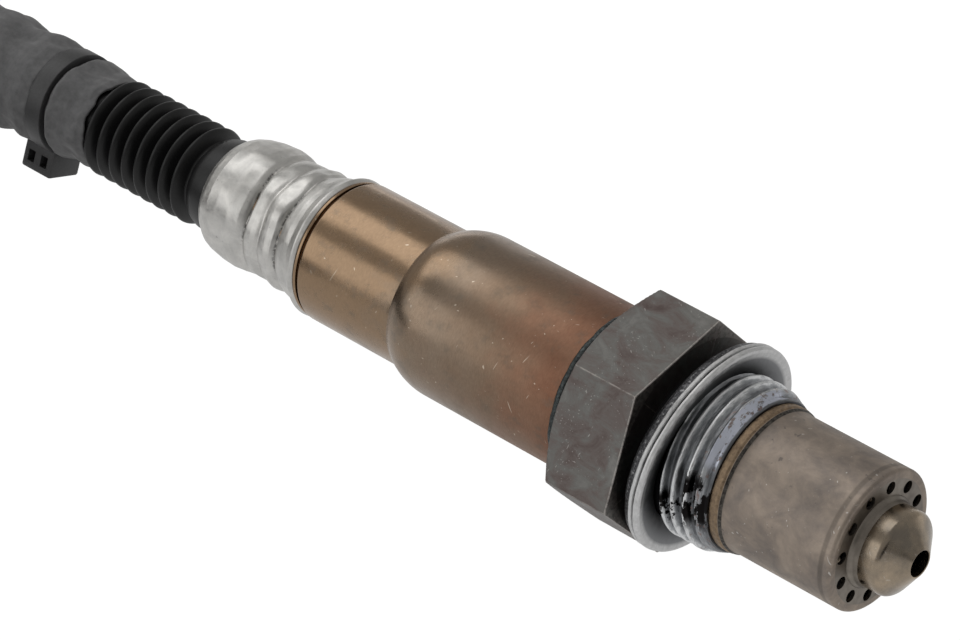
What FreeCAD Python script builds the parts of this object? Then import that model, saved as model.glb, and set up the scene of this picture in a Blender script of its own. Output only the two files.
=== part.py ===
import FreeCAD, Part
import Sketcher
import math
import os
from FreeCAD import Placement, Rotation, Vector

# Wideband exhaust gas oxygen sensor, lying as it rests on a bench.
# Frame: origin on the sensor's axis at the front face of the hexagon, where it
# seats on the exhaust boss; +X runs along the axis to the gas end, +Z is up.

SIZES = [
    # Housing: hexagon, thread and rear collar
    ("hex_flats", 22.0), ("hex_length", 9.0), ("hex_phase", 10.46),
    ("hex_chamfer_length", 1.22), ("hex_chamfer_angle", 30.0),
    ("relief_radius", 8.0), ("relief_length", 3.9),
    ("thread_radius", 9.0), ("thread_lead_in", 0.75), ("thread_runout", 0.9),
    ("housing_nose", 9.24),
    ("nose_bore_radius", 3.4), ("nose_bore_length", 2.2),
    ("stack_radius", 5.5), ("stack_fit", 0.04),
    ("collar_length", 3.4), ("collar_lip", 0.8), ("collar_lip_bore", 4.7),
    ("shell_fit", 0.05),
    # Folded captive gasket
    ("gasket_outer", 11.7), ("gasket_play", 0.28), ("gasket_stand_off", 1.6),
    ("gasket_layer", 1.03), ("gasket_fold_gap", 0.16), ("gasket_fold_depth", 2.1),
    ("gasket_edge_round", 0.4),
    # Outer protection tube
    ("tube_radius", 7.6), ("tube_wall", 0.4), ("tube_face", 24.04), ("tube_corner", 1.1),
    ("tube_base_radius", 8.15), ("tube_base_length", 1.05), ("weld_radius", 7.9), ("weld_length", 0.4),
    ("vent_circle", 5.98), ("vent_radius", 0.7), ("vent_phase", 16.7), ("vent_count", 12),
    ("collar_ring_radius", 4.92), ("collar_ring_height", 0.45),
    # Inner protection tube with its nozzle
    ("inner_wall", 0.4), ("inner_radius", 5.1), ("inner_flange_radius", 7.1),
    ("snout_radius", 4.15), ("snout_fit", 0.05), ("snout_edge", 25.45), ("snout_round", 1.2),
    ("snout_angle", 39.7), ("snout_tip", 28.9), ("nozzle_radius", 1.42), ("shoulder_play", 0.05),
    ("neck_in_length", 0.9), ("gas_hole_radius", 0.6), ("gas_hole_place", 13.2), ("gas_hole_count", 8),
    # Sensing element and its packing
    ("element_width", 4.0), ("element_thick", 1.3), ("element_tip", 21.0), ("element_tail", 27.0),
    ("element_fit", 0.05),
    ("front_bush_length", 4.3), ("powder_length", 4.4), ("washer_length", 1.0),
    # Two-step sleeve
    ("sleeve_radius", 9.07), ("sleeve_wall", 0.5), ("shoulder_start", 29.6), ("shoulder_round", 7.4),
    ("shoulder_length", 3.9), ("small_sleeve_radius", 7.8), ("small_sleeve_end", 46.5),
    ("small_sleeve_round", 0.95), ("neck_radius", 6.0), ("neck_short", 0.2), ("crease_length", 0.25),
    # Contact holder
    ("holder_radius", 6.2), ("holder_start", 15.2), ("holder_length", 15.6), ("holder_slot_height", 4.4),
    ("holder_slot_fit", 0.15), ("ring_start", 19.0), ("ring_length", 6.0), ("ring_fit", 0.05),
    ("contact_width", 0.9), ("contact_thick", 0.45), ("contact_pitch", 1.45), ("contact_gap", 0.03),
    ("spring_length", 11.6), ("spring_tail", 0.3), ("tag_length", 1.4), ("ferrule_length", 4.5),
    ("ferrule_wall", 0.25), ("ferrule_stop", 0.4), ("lead_end_gap", 0.1),
    # Leads and grommet
    ("lead_radius", 0.75), ("lead_circle", 2.4), ("lead_count", 5), ("lead_fit", 0.05),
    ("grommet_gap", 0.6), ("grommet_length", 12.2),
    # Crimped cap
    ("cap_gap", 0.35), ("cap_fit", 0.06),
    ("cap_lip_radius", 7.8), ("cap_lip_round", 0.35), ("cap_lip_flat", 0.25), ("cap_lip_length", 1.3),
    ("cap_lip_root", 7.2), ("cap_lip_fall", 1.2), ("cap_land_length", 1.5), ("cap_land_radius", 7.05),
    ("cap_crease_radius", 6.48), ("cap_first_crease", 50.95), ("cap_middle_crease", 53.4),
    ("cap_last_crease", 55.65), ("cap_crest_round", 3.2), ("cap_rear_crest_round", 12.5),
    ("cap_overhang", 3.1), ("cap_rear_drop", 1.7), ("cap_rear_edge_radius", 6.62), ("cap_rear_round", 1.9),
    ("cap_mouth_length", 0.55), ("cap_mouth_wall", 0.45), ("cap_mouth_fit", 0.08), ("cap_taper_gap", 0.5),
    # Bellows boot
    ("boot_radius", 5.45), ("boot_bore", 3.7), ("boot_gap", 0.1), ("boot_plain_end", 66.0),
    ("rib_pitch", 1.85), ("rib_count", 8), ("rib_width", 1.45), ("rib_valley_radius", 4.65),
    ("rib_round", 0.76), ("rib_inner_round", 0.6), ("rib_wall", 0.55),
    ("boot_tail_radius", 4.35), ("boot_tail_length", 4.2), ("rib_end_land", 0.35),
    # Sheath, its gathered end and the strap on it
    ("sheath_diameter", 10.8), ("cuff_end", 101.0), ("cuff_fit", 0.06),
    ("cuff_mouth_radius", 4.95), ("cuff_mouth_length", 1.4), ("cuff_mouth_swell", 0.4),
    ("cuff_mouth_round", 2.2), ("cuff_bulge_radius", 5.6),
    ("strap_place", 88.0), ("strap_width", 2.5), ("strap_thick", 1.15), ("strap_seat_radius", 5.05),
    ("strap_fit", 0.04), ("seat_play", 0.15), ("seat_shoulder", 0.7), ("seat_round", 0.9),
    ("strap_head_angle", 249.0), ("strap_head_tall", 3.6), ("strap_head_wide", 4.9),
    ("strap_head_long", 4.4), ("strap_slot_thick", 1.4), ("strap_slot_lift", 0.5), ("strap_slot_shift", 0.23),
    ("strap_tail_thick", 0.9), ("strap_tail_lift", 0.2), ("strap_tail_stub", 0.9), ("strap_tail_play", 0.15),
    ("fold_count", 9), ("fold_depth", 0.42), ("fold_width", 0.8), ("fold_length", 4.2),
    ("rear_fold_length", 6.0), ("fold_over", 0.4), ("fold_gap", 0.6),
    # Put-away coil, with its angles counted round its middle, and its strap
    ("floor_drop", 11.97), ("coil_middle", 147.0), ("coil_turn_radius", 54.0), ("coil_enter", 90.0),
    ("coil_down_start", 330.0), ("coil_down_end", 400.0), ("coil_leave", 660.0),
    ("coil_strap_angle", 200.0), ("coil_strap_width", 4.0), ("coil_strap_thick", 1.2),
    ("coil_strap_head", 5.0), ("coil_strap_head_tall", 3.5), ("coil_strap_head_round", 0.5),
    ("tail_radius", 34.0), ("tail_turn", 142.0), ("tail_straight", 6.0),
    # Plug
    ("plug_length", 22.0), ("plug_width", 24.0), ("plug_height", 14.0), ("plug_round", 1.6),
    ("nose_length", 14.0), ("nose_width", 18.6), ("nose_height", 9.6),
    ("seal_pocket", 3.6), ("seal_side", 1.6), ("plug_fit", 0.06),
    ("cavity_side", 2.6), ("cavity_pitch_y", 5.0), ("cavity_pitch_z", 4.4), ("front_wall", 1.2),
    ("port_width", 1.8), ("port_height", 0.9), ("terminal_side", 2.2), ("terminal_length", 24.0),
    ("nose_ring_length", 2.6), ("nose_ring_wall", 1.5),
    ("lock_place", 12.0), ("lock_length", 3.0), ("lock_depth", 2.2), ("lock_side", 3.0), ("lock_sink", 0.1),
    ("latch_length", 20.0), ("latch_reach", 3.0), ("latch_width", 9.0), ("latch_thick", 1.6),
    ("latch_gap", 1.5), ("latch_foot", 3.0), ("latch_sink", 0.4), ("latch_tooth", 1.3),
    ("latch_tooth_length", 1.5), ("latch_slope", 1.0),
]

# How far a cutting shape runs past the face that it cuts through
PAST = 1.0

doc = FreeCAD.newDocument("oxygen_sensor")
sheet = doc.addObject("Spreadsheet::Sheet", "sizes")
for row, (alias, number) in enumerate(SIZES, start=1):
    sheet.set(f"A{row}", alias)
    sheet.set(f"B{row}", str(number))
    sheet.setAlias(f"B{row}", alias)
doc.recompute()


class Size:
    """A measure that keeps its number together with the expression that gives it."""

    def __init__(self, number, text):
        self.number = float(number)
        self.text = text

    def __add__(self, other):
        other = size(other)
        return Size(self.number + other.number, f"({self.text} + {other.text})")

    def __sub__(self, other):
        other = size(other)
        return Size(self.number - other.number, f"({self.text} - {other.text})")

    def __mul__(self, other):
        other = size(other)
        return Size(self.number * other.number, f"({self.text} * {other.text})")

    def __truediv__(self, other):
        other = size(other)
        return Size(self.number / other.number, f"({self.text} / {other.text})")

    def __neg__(self):
        return Size(-self.number, f"(0 - {self.text})")


def size(value):
    """A named size, a plain number or a Size, as a Size."""
    if isinstance(value, Size):
        return value
    if isinstance(value, str):
        return Size(sheet.get(value), f"sizes.{value}")
    return Size(value, repr(float(value)))


def cosine(angle):
    angle = size(angle)
    return Size(math.cos(math.radians(angle.number)), f"cos({angle.text} * 1 deg)")


def sine(angle):
    angle = size(angle)
    return Size(math.sin(math.radians(angle.number)), f"sin({angle.text} * 1 deg)")


def tangent(angle):
    angle = size(angle)
    return Size(math.tan(math.radians(angle.number)), f"tan({angle.text} * 1 deg)")


NODES = []


def keep(item, name):
    """Name a finished sub-part."""
    item.Label = name
    NODES.append((name, item))
    return item


def new_body(name):
    return doc.addObject("PartDesign::Body", name + "_body")


def origin_feature(body, role):
    return [item for item in body.Origin.OriginFeatures if item.Role == role][0]


def new_sketch(body, name, role, shift=None):
    """A sketch on one of the body's origin planes, moved along its normal by shift."""
    sketch = body.newObject("Sketcher::SketchObject", name)
    sketch.AttachmentSupport = [(origin_feature(body, role), "")]
    sketch.MapMode = "FlatFace"
    if shift is not None:
        shift = size(shift)
        sketch.AttachmentOffset = Placement(Vector(0, 0, shift.number), Rotation())
        sketch.setExpression("AttachmentOffset.Base.z", shift.text)
    return sketch


def arc_centre(start, end, radius, turn):
    """Centre of the minor arc from start to end; turn is +1 counter-clockwise, -1 clockwise."""
    chord = end - start
    half = chord.Length / 2
    rise = math.sqrt(max(radius * radius - half * half, 0.0))
    side = Vector(-chord.y, chord.x, 0).normalize() * (rise * turn)
    return (start + end) * 0.5 + side


def draw(sketch, path):
    """A closed outline. Each entry is (across, up), with (radius, turn) added where the
    stretch that arrives there is an arc."""
    spots = [(size(entry[0]), size(entry[1])) for entry in path]
    points = [Vector(across.number, up.number, 0) for across, up in spots]
    ends = []
    radii = []
    for i, entry in enumerate(path):
        start, end = points[i - 1], points[i]
        if len(entry) == 4:
            radius, turn = size(entry[2]), entry[3]
            centre = arc_centre(start, end, radius.number, turn)
            first, last = (start, end) if turn > 0 else (end, start)
            low = math.atan2(first.y - centre.y, first.x - centre.x)
            high = math.atan2(last.y - centre.y, last.x - centre.x)
            if high <= low:
                high += 2 * math.pi
            circle = Part.Circle(centre, Vector(0, 0, 1), radius.number)
            line = sketch.addGeometry(Part.ArcOfCircle(circle, low, high), False)
            ends.append((line, 1, 2) if turn > 0 else (line, 2, 1))
            radii.append((line, radius))
        else:
            line = sketch.addGeometry(Part.LineSegment(start, end), False)
            ends.append((line, 1, 2))
    for i, (line, first, last) in enumerate(ends):
        before, _, before_last = ends[i - 1]
        sketch.addConstraint(Sketcher.Constraint("Coincident", before, before_last, line, first))
    for (line, _, last), (across, up) in zip(ends, spots):
        place(sketch, line, last, across, up)
    for line, radius in radii:
        index = sketch.addConstraint(Sketcher.Constraint("Radius", line, radius.number))
        sketch.setExpression(f"Constraints[{index}]", radius.text)


def place(sketch, line, point, across, up):
    """Hold one point of a sketch at its two measures from the origin."""
    for kind, measure in (("DistanceX", across), ("DistanceY", up)):
        rule = Sketcher.Constraint(kind, -1, 1, line, point, measure.number)
        index = sketch.addConstraint(rule)
        sketch.setExpression(f"Constraints[{index}]", measure.text)


def draw_circle(sketch, across, up, radius):
    across, up, radius = size(across), size(up), size(radius)
    circle = Part.Circle(Vector(across.number, up.number, 0), Vector(0, 0, 1), radius.number)
    line = sketch.addGeometry(circle, False)
    place(sketch, line, 3, across, up)
    index = sketch.addConstraint(Sketcher.Constraint("Radius", line, radius.number))
    sketch.setExpression(f"Constraints[{index}]", radius.text)


def rectangle(left, right, low, high):
    return [(left, low), (right, low), (right, high), (left, high)]


def turned(body, name, path, kind="PartDesign::Revolution"):
    """Material turned about the sensor's axis, or cut away by a Groove."""
    sketch = new_sketch(body, name + "_profile", "XZ_Plane")
    draw(sketch, path)
    feature = body.newObject(kind, name)
    feature.Profile = sketch
    feature.ReferenceAxis = (sketch, ["H_Axis"])
    feature.Angle = 360.0
    sketch.Visibility = False
    return feature


def extruded(body, name, outlines, start, length, kind="PartDesign::Pad", role="YZ_Plane"):
    """Outlines pushed along the plane's normal from start; a Pocket removes them instead."""
    sketch = new_sketch(body, name + "_outline", role, start)
    for outline in outlines:
        if len(outline) == 3 and not isinstance(outline[0], tuple):
            draw_circle(sketch, *outline)
        else:
            draw(sketch, outline)
    feature = body.newObject(kind, name)
    feature.Profile = sketch
    length = size(length)
    feature.Length = length.number
    feature.setExpression("Length", length.text)
    feature.Reversed = kind == "PartDesign::Pocket"
    sketch.Visibility = False
    return feature


def ring_of(body, name, feature, count, role="X_Axis"):
    """Copies of a feature spread evenly round an axis."""
    pattern = body.newObject("PartDesign::PolarPattern", name)
    pattern.Originals = [feature]
    pattern.Axis = (origin_feature(body, role), [""])
    pattern.Angle = 360.0
    count = size(count)
    pattern.Occurrences = int(count.number)
    pattern.setExpression("Occurrences", count.text)
    body.Tip = pattern
    return pattern


def along(name, start, length, radius, across=0, up=0):
    """A plain rod parallel to the sensor's axis."""
    rod = doc.addObject("Part::Cylinder", name)
    rod.Placement = Placement(Vector(), Rotation(Vector(0, 1, 0), 90))
    bind(rod, {"Radius": radius, "Height": length, "Placement.Base.x": start,
               "Placement.Base.y": across, "Placement.Base.z": up})
    return rod


def block(name, start, length, across, width, up, height):
    """A plain block, given by its low corner and its three sides."""
    box = doc.addObject("Part::Box", name)
    bind(box, {"Length": length, "Width": width, "Height": height, "Placement.Base.x": start,
               "Placement.Base.y": across, "Placement.Base.z": up})
    return box


def bind(item, measures):
    for path, measure in measures.items():
        item.setExpression(path, size(measure).text)


def cut(name, base, tool):
    result = doc.addObject("Part::Cut", name)
    result.Base = base
    result.Tool = tool
    return result


def joined(name, items):
    result = doc.addObject("Part::MultiFuse", name)
    result.Shapes = items
    return result


def group(name, items):
    result = doc.addObject("Part::Compound", name)
    result.Links = items
    return result


# Shared places along the axis, worked out once
front_bush_face = size("housing_nose") - "nose_bore_length"
powder_face = front_bush_face - "front_bush_length"
rear_bush_face = powder_face - "powder_length"
hex_back = -size("hex_length")
collar_back = hex_back - "collar_length"
washer_back = collar_back + "collar_lip"
rear_bush_back = washer_back + "washer_length"
stack_piece_radius = size("stack_radius") - "stack_fit"
gasket_front = size("gasket_stand_off") + size("gasket_layer") * 2 + "gasket_fold_gap"
holder_back = -(size("holder_start") + "holder_length")
grommet_front = -(size("small_sleeve_end") + "sleeve_wall" + "grommet_gap")
grommet_back = grommet_front - "grommet_length"
neck_back = grommet_back + "neck_short"
cap_back = neck_back - "cap_overhang"
boot_front = grommet_back - "boot_gap"
ribs_end = -(size("boot_plain_end") + size("rib_pitch") * "rib_count" + "rib_end_land")
floor_level = -size("floor_drop")
sheath_radius = size("sheath_diameter") / 2


def sensor_housing():
    """Steel hexagon with the threaded spigot in front and the sleeve's collar behind."""
    body = new_body("sensor_housing")
    corner = size("hex_flats") / 2 / cosine(30)
    corners = []
    for k in range(6):
        angle = size("hex_phase") + 60 * k
        corners.append((corner * cosine(angle), corner * sine(angle)))
    extruded(body, "hexagon", [corners], hex_back, "hex_length")
    slope = size("hex_chamfer_length") / tangent("hex_chamfer_angle")
    edge = hex_back + "hex_chamfer_length"
    turned(body, "hex_rear_chamfer", [
        (edge, corner), (hex_back, corner - slope), (hex_back - PAST, corner - slope),
        (hex_back - PAST, corner + PAST), (edge, corner + PAST)], "PartDesign::Groove")
    thread_start = size("relief_length") + "thread_runout"
    thread_end = size("housing_nose") - "thread_lead_in"
    collar_radius = size("sleeve_radius") - "sleeve_wall" - "shell_fit"
    turned(body, "spigot_and_collar", [
        (collar_back, 0), (size("housing_nose"), 0),
        (size("housing_nose"), size("thread_radius") - "thread_lead_in"),
        (thread_end, "thread_radius"), (thread_start, "thread_radius"),
        ("relief_length", "relief_radius"), (-PAST, "relief_radius"),
        (-PAST, collar_radius), (collar_back, collar_radius)])
    turned(body, "stepped_bore", [
        (collar_back - PAST, 0), (size("housing_nose") + PAST, 0),
        (size("housing_nose") + PAST, "nose_bore_radius"), (front_bush_face, "nose_bore_radius"),
        (front_bush_face, "stack_radius"), (washer_back, "stack_radius"),
        (washer_back, "collar_lip_bore"), (collar_back - PAST, "collar_lip_bore")], "PartDesign::Groove")
    return keep(body, "sensor_housing")


def captive_gasket():
    """Sheet-metal ring folded double, loose in the relief behind the thread."""
    body = new_body("captive_gasket")
    bore = size("relief_radius") + "gasket_play"
    back = size("gasket_stand_off")
    back_gap = back + "gasket_layer"
    front_gap = back_gap + "gasket_fold_gap"
    rim = size("gasket_outer")
    fold = rim - "gasket_fold_depth"
    turn = size("gasket_edge_round")
    turned(body, "folded_ring", [
        (back, bore), (gasket_front, bore),
        (gasket_front, rim - turn), (gasket_front - turn, rim, turn, 1),
        (front_gap, rim), (front_gap, fold), (back_gap, fold), (back_gap, rim),
        (back + turn, rim), (back, rim - turn, turn, 1)])
    return keep(body, "captive_gasket")


def outer_protection_tube():
    """Drawn cup with a ring of vents round the nozzle, welded to the housing's nose."""
    body = new_body("outer_protection_tube")
    nose = size("housing_nose")
    face = size("tube_face")
    inside = face - "tube_wall"
    outer = size("tube_radius")
    bore = outer - "tube_wall"
    corner = size("tube_corner")
    inner_corner = corner - "tube_wall"
    hole = size("snout_radius") + "snout_fit"
    base_end = nose + "tube_base_length"
    weld_end = base_end + "weld_length"
    ring_top = face + "collar_ring_height"
    turned(body, "cup", [
        (nose, bore), (inside - inner_corner, bore), (inside, bore - inner_corner, inner_corner, -1),
        (inside, hole), (ring_top, hole), (face, "collar_ring_radius", "collar_ring_radius", -1),
        (face, outer - corner), (face - corner, outer, corner, 1),
        (weld_end, outer), (base_end, "weld_radius"),
        (base_end, "tube_base_radius"), (nose, "tube_base_radius")])
    across = size("vent_circle") * cosine("vent_phase")
    up = size("vent_circle") * sine("vent_phase")
    vent = extruded(body, "vent", [(across, up, "vent_radius")], inside - PAST,
                    size("tube_wall") + PAST * 2, "PartDesign::Pocket")
    ring_of(body, "vents", vent, "vent_count")
    return keep(body, "outer_protection_tube")


def inner_protection_tube():
    """Second cup, clamped under the first; its nozzle passes through the vented face."""
    body = new_body("inner_protection_tube")
    nose = size("housing_nose")
    wall = size("inner_wall")
    seat = nose + wall
    outer = size("inner_radius")
    snout = size("snout_radius")
    shoulder = size("tube_face") - "tube_wall" - "shoulder_play"
    shoulder_in = shoulder - "neck_in_length"
    edge = size("snout_edge")
    tip = size("snout_tip")
    mouth = size("nozzle_radius")
    blend = size("snout_round")
    cone_start = edge + blend * sine("snout_angle")
    cone_radius = snout - blend * (size(1) - cosine("snout_angle"))
    rim = cone_radius - (tip - cone_start) * tangent("snout_angle")
    turned(body, "cup", [
        (nose, outer - wall), (shoulder_in - wall, outer - wall), (shoulder - wall, snout - wall),
        (edge - wall, snout - wall), (tip - wall, mouth), (tip, mouth), (tip, rim),
        (cone_start, cone_radius), (edge, snout, blend, 1),
        (shoulder, snout), (shoulder_in, outer), (seat, outer), (seat, "inner_flange_radius"),
        (nose, "inner_flange_radius")])
    hole = extruded(body, "gas_hole", [("gas_hole_place", 0, "gas_hole_radius")], 0,
                    outer + PAST, "PartDesign::Pocket", "XY_Plane")
    ring_of(body, "gas_holes", hole, "gas_hole_count")
    return keep(body, "inner_protection_tube")


def element_opening(name, start, length):
    """The slot that the ceramic strip passes through."""
    width = size("element_width") + size("element_fit") * 2
    height = size("element_thick") + size("element_fit") * 2
    return block(name, start, length, -width / 2, width, -height / 2, height)


def sealing_stack():
    """Ceramic strip held in the housing by two bushes with pressed powder between them."""
    length = size("element_tip") + "element_tail"
    strip = block("strip", -size("element_tail"), length, -size("element_width") / 2, "element_width",
                  -size("element_thick") / 2, "element_thick")
    keep(strip, "sensing_element")
    pieces = [("front_ceramic_bush", powder_face, front_bush_face),
              ("powder_seal", rear_bush_face, powder_face),
              ("rear_ceramic_bush", rear_bush_back, rear_bush_face),
              ("seal_clamp_washer", washer_back, rear_bush_back)]
    for name, start, end in pieces:
        rod = along(name + "_round", start, end - start, stack_piece_radius)
        slot = element_opening(name + "_slot", start - PAST, end - start + PAST * 2)
        keep(cut(name + "_cut", rod, slot), name)


def outer_sleeve():
    """Two-step drawn sleeve, pushed over the collar and welded behind the hexagon."""
    body = new_body("outer_sleeve")
    wall = size("sleeve_wall")
    big = size("sleeve_radius")
    small = size("small_sleeve_radius")
    neck = size("neck_radius")
    shoulder = -size("shoulder_start")
    shoulder_end = shoulder - "shoulder_length"
    drop = shoulder_drop()
    crease = shoulder_end - "crease_length"
    end = -size("small_sleeve_end")
    corner = size("small_sleeve_round")
    corner_in = corner - wall
    turned(body, "sleeve", [
        (hex_back, big), (shoulder, big), (shoulder_end, big - drop, "shoulder_round", 1),
        (crease, small), (end + corner, small), (end, small - corner, corner, 1),
        (end, neck), (neck_back, neck), (neck_back, neck - wall),
        (end + wall, neck - wall), (end + wall, small - corner),
        (end + corner, small - wall, corner_in, -1),
        (crease + wall, small - wall), (shoulder_end + wall, big - drop - wall),
        (shoulder, big - wall, size("shoulder_round") - wall, -1), (hex_back, big - wall)])
    return keep(body, "outer_sleeve")


def shoulder_drop():
    """How far the rounded shoulder falls over its length."""
    length = size("shoulder_length")
    radius = size("shoulder_round")
    fall = radius.number - math.sqrt(radius.number ** 2 - length.number ** 2)
    return Size(fall, f"({radius.text} - sqrt({radius.text} ^ 2 - {length.text} ^ 2))")


def contact_holder():
    """Ceramic holder with a slot for the strip's contacts, and the spring ring round it."""
    start = holder_back
    rod = along("holder_round", start, "holder_length", "holder_radius")
    width = size("contact_pitch") * 2 + size("contact_width") + size("holder_slot_fit") * 2
    slot = block("holder_slot", start - PAST, size("holder_length") + PAST * 2, -width / 2, width,
                 -size("holder_slot_height") / 2, "holder_slot_height")
    keep(cut("holder_cut", rod, slot), "contact_holder")
    outer = size("sleeve_radius") - "sleeve_wall" - "ring_fit"
    ring_back = -(size("ring_start") + "ring_length")
    tube = along("ring_outer", ring_back, "ring_length", outer)
    bore = along("ring_bore", ring_back - PAST, size("ring_length") + PAST * 2,
                 size("holder_radius") + "ring_fit")
    keep(cut("ring_cut", tube, bore), "holder_spring_ring")


def lead_spots():
    """Angle and place of each lead on its circle."""
    count = size("lead_count")
    for k in range(int(count.number)):
        angle = Size(360.0 * k / count.number + 90, f"({k} * 360 / {count.text} + 90)")
        yield k, size("lead_circle") * cosine(angle), size("lead_circle") * sine(angle)


def contacts_and_leads():
    """Contact springs on both sides of the strip, each crimped to one lead."""
    spring_places = [(0, 1), (-1, 1), (-0.5, -1), (0.5, -1), (1, 1)]
    spring_root = holder_back - "spring_tail"
    ferrule_front = spring_root - "tag_length"
    ferrule_back = ferrule_front - "ferrule_length"
    ferrule_radius = size("lead_radius") + "ferrule_wall"
    gap = size("element_thick") / 2 + "contact_gap"
    terminals = []
    leads = []
    for k, across, up in lead_spots():
        step, side = spring_places[k]
        middle = size("contact_pitch") * step
        base = gap if side > 0 else -gap - "contact_thick"
        spring = block(f"spring_{k}", spring_root, "spring_length", middle - size("contact_width") / 2,
                       "contact_width", base, "contact_thick")
        ferrule = along(f"ferrule_{k}", ferrule_back, "ferrule_length", ferrule_radius, across, up)
        bore_length = size("ferrule_length") + PAST - "ferrule_stop"
        bore = along(f"ferrule_bore_{k}", ferrule_back - PAST, bore_length,
                     size("lead_radius") + "lead_fit", across, up)
        tag = tag_between(k, (spring_root, middle, base + size("contact_thick") / 2),
                          (ferrule_front, across, up))
        solid = joined(f"terminal_{k}", [spring, tag, cut(f"barrel_{k}", ferrule, bore)])
        terminals.append(solid)
        lead_back = -size("cuff_end")
        lead_length = ferrule_front - "ferrule_stop" - "lead_end_gap" - lead_back
        leads.append(along(f"lead_{k}", lead_back, lead_length, "lead_radius", across, up))
    keep(group("terminal_group", terminals), "contact_springs")
    keep(group("lead_group", leads), "lead_wires")


def tag_between(k, root, ferrule):
    """The tapered tag from a spring's root to its ferrule."""
    body = new_body(f"tag_{k}")
    half = size("contact_thick") / 2
    sections = []
    for index, (place_x, y, z) in enumerate([ferrule, root]):
        sketch = new_sketch(body, f"tag_{k}_{index}", "YZ_Plane", place_x)
        draw(sketch, rectangle(y - half, y + half, z - half, z + half))
        sections.append(sketch)
    loft = body.newObject("PartDesign::AdditiveLoft", f"tag_{k}_loft")
    loft.Profile = sections[0]
    loft.Sections = [sections[1]]
    loft.Ruled = True
    return body


def wire_grommet():
    """Heat-proof plug in the sleeve's neck, with a hole for each lead."""
    body = new_body("wire_grommet")
    radius = size("neck_radius") - "sleeve_wall" - "shell_fit"
    turned(body, "plug", rectangle(grommet_back, grommet_front, 0, radius))
    hole = extruded(body, "lead_hole", [(0, "lead_circle", size("lead_radius") + "lead_fit")],
                    grommet_back - PAST, size("grommet_length") + PAST * 2, "PartDesign::Pocket")
    ring_of(body, "lead_holes", hole, "lead_count")
    return keep(body, "wire_grommet")


def crimp_cap():
    """Bright cap with a flared lip, crimped down over the sleeve's neck in three rings."""
    body = new_body("crimp_cap")
    front = -(size("small_sleeve_end") + "cap_gap")
    lip = size("cap_lip_radius")
    lip_round = size("cap_lip_round")
    lip_back = front - "cap_lip_length"
    land_back = lip_back - "cap_land_length"
    bore = size("neck_radius") + "cap_fit"
    mouth = size("boot_radius") + "cap_mouth_fit"
    crease = size("cap_crease_radius")
    turned(body, "shell", [
        (cap_back, mouth), (cap_back + "cap_mouth_length", mouth), (neck_back - "cap_taper_gap", bore),
        (front, bore), (front, lip - lip_round), (front - lip_round, lip, lip_round, 1),
        (front - lip_round - "cap_lip_flat", lip), (lip_back, "cap_lip_root", "cap_lip_fall", 1),
        (land_back, "cap_land_radius"), (-size("cap_first_crease"), crease),
        (-size("cap_middle_crease"), crease, "cap_crest_round", 1),
        (-size("cap_last_crease"), crease, "cap_crest_round", 1),
        (cap_back + "cap_rear_drop", "cap_rear_edge_radius", "cap_rear_crest_round", 1),
        (cap_back, mouth + "cap_mouth_wall", "cap_rear_round", 1)])
    return keep(body, "crimp_cap")


def bellows_boot():
    """Rubber boot: a plain cuff under the cap, a run of ribs, and a tail inside the sheath."""
    body = new_body("bellows_boot")
    bore = size("boot_bore")
    radius = size("boot_radius")
    valley = size("rib_valley_radius")
    plain_end = -size("boot_plain_end")
    count = int(size("rib_count").number)
    outside = [(boot_front, bore), (boot_front, radius), (plain_end, radius), (plain_end, valley)]
    inside = []
    for k in range(count):
        front = plain_end - size("rib_pitch") * k - (size("rib_pitch") - "rib_width")
        back = front - "rib_width"
        outside += [(front, valley), (back, valley, "rib_round", 1)]
        wall = size("rib_wall")
        inside = [(back + wall, bore), (front - wall, bore, "rib_inner_round", -1)] + inside
    tail_end = ribs_end - "boot_tail_length"
    outside += [(ribs_end, valley), (ribs_end, "boot_tail_radius"), (tail_end, "boot_tail_radius"),
                (tail_end, bore)]
    turned(body, "moulding", outside + inside)
    return keep(body, "bellows_boot")


def sheath_cuff():
    """Gathered end of the sheath, drawn in by a strap over the boot's tail."""
    body = new_body("sheath_cuff")
    bore = size("boot_tail_radius") + "cuff_fit"
    start = ribs_end - "cuff_fit"
    end = -size("cuff_end")
    half_seat = size("strap_width") / 2 + "seat_play"
    seat_front = half_seat - "strap_place"
    seat_back = -half_seat - "strap_place"
    seat = size("strap_seat_radius")
    bulge = size("cuff_bulge_radius")
    turned(body, "tube", [
        (end, bore), (start, bore), (start, "cuff_mouth_radius"),
        (start - "cuff_mouth_length", size("cuff_mouth_radius") + "cuff_mouth_swell", "cuff_mouth_round", 1),
        (seat_front + "seat_shoulder", bulge), (seat_front, seat, "seat_round", 1), (seat_back, seat),
        (seat_back - "seat_shoulder", bulge, "seat_round", 1), (end, sheath_radius)])
    ridge = bulge + "fold_over"
    half = size("fold_width") / 2
    rear_start = seat_back - "fold_gap" - "rear_fold_length"
    for name, place_x, length in (("front_fold", seat_front + "fold_gap", "fold_length"),
                                  ("rear_fold", rear_start, "rear_fold_length")):
        fold = extruded(body, name, [[(0, bulge - "fold_depth"), (half, ridge), (-half, ridge)]],
                        place_x, length, "PartDesign::Pocket")
        ring_of(body, name + "s", fold, "fold_count")
    return keep(body, "sheath_cuff")


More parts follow.
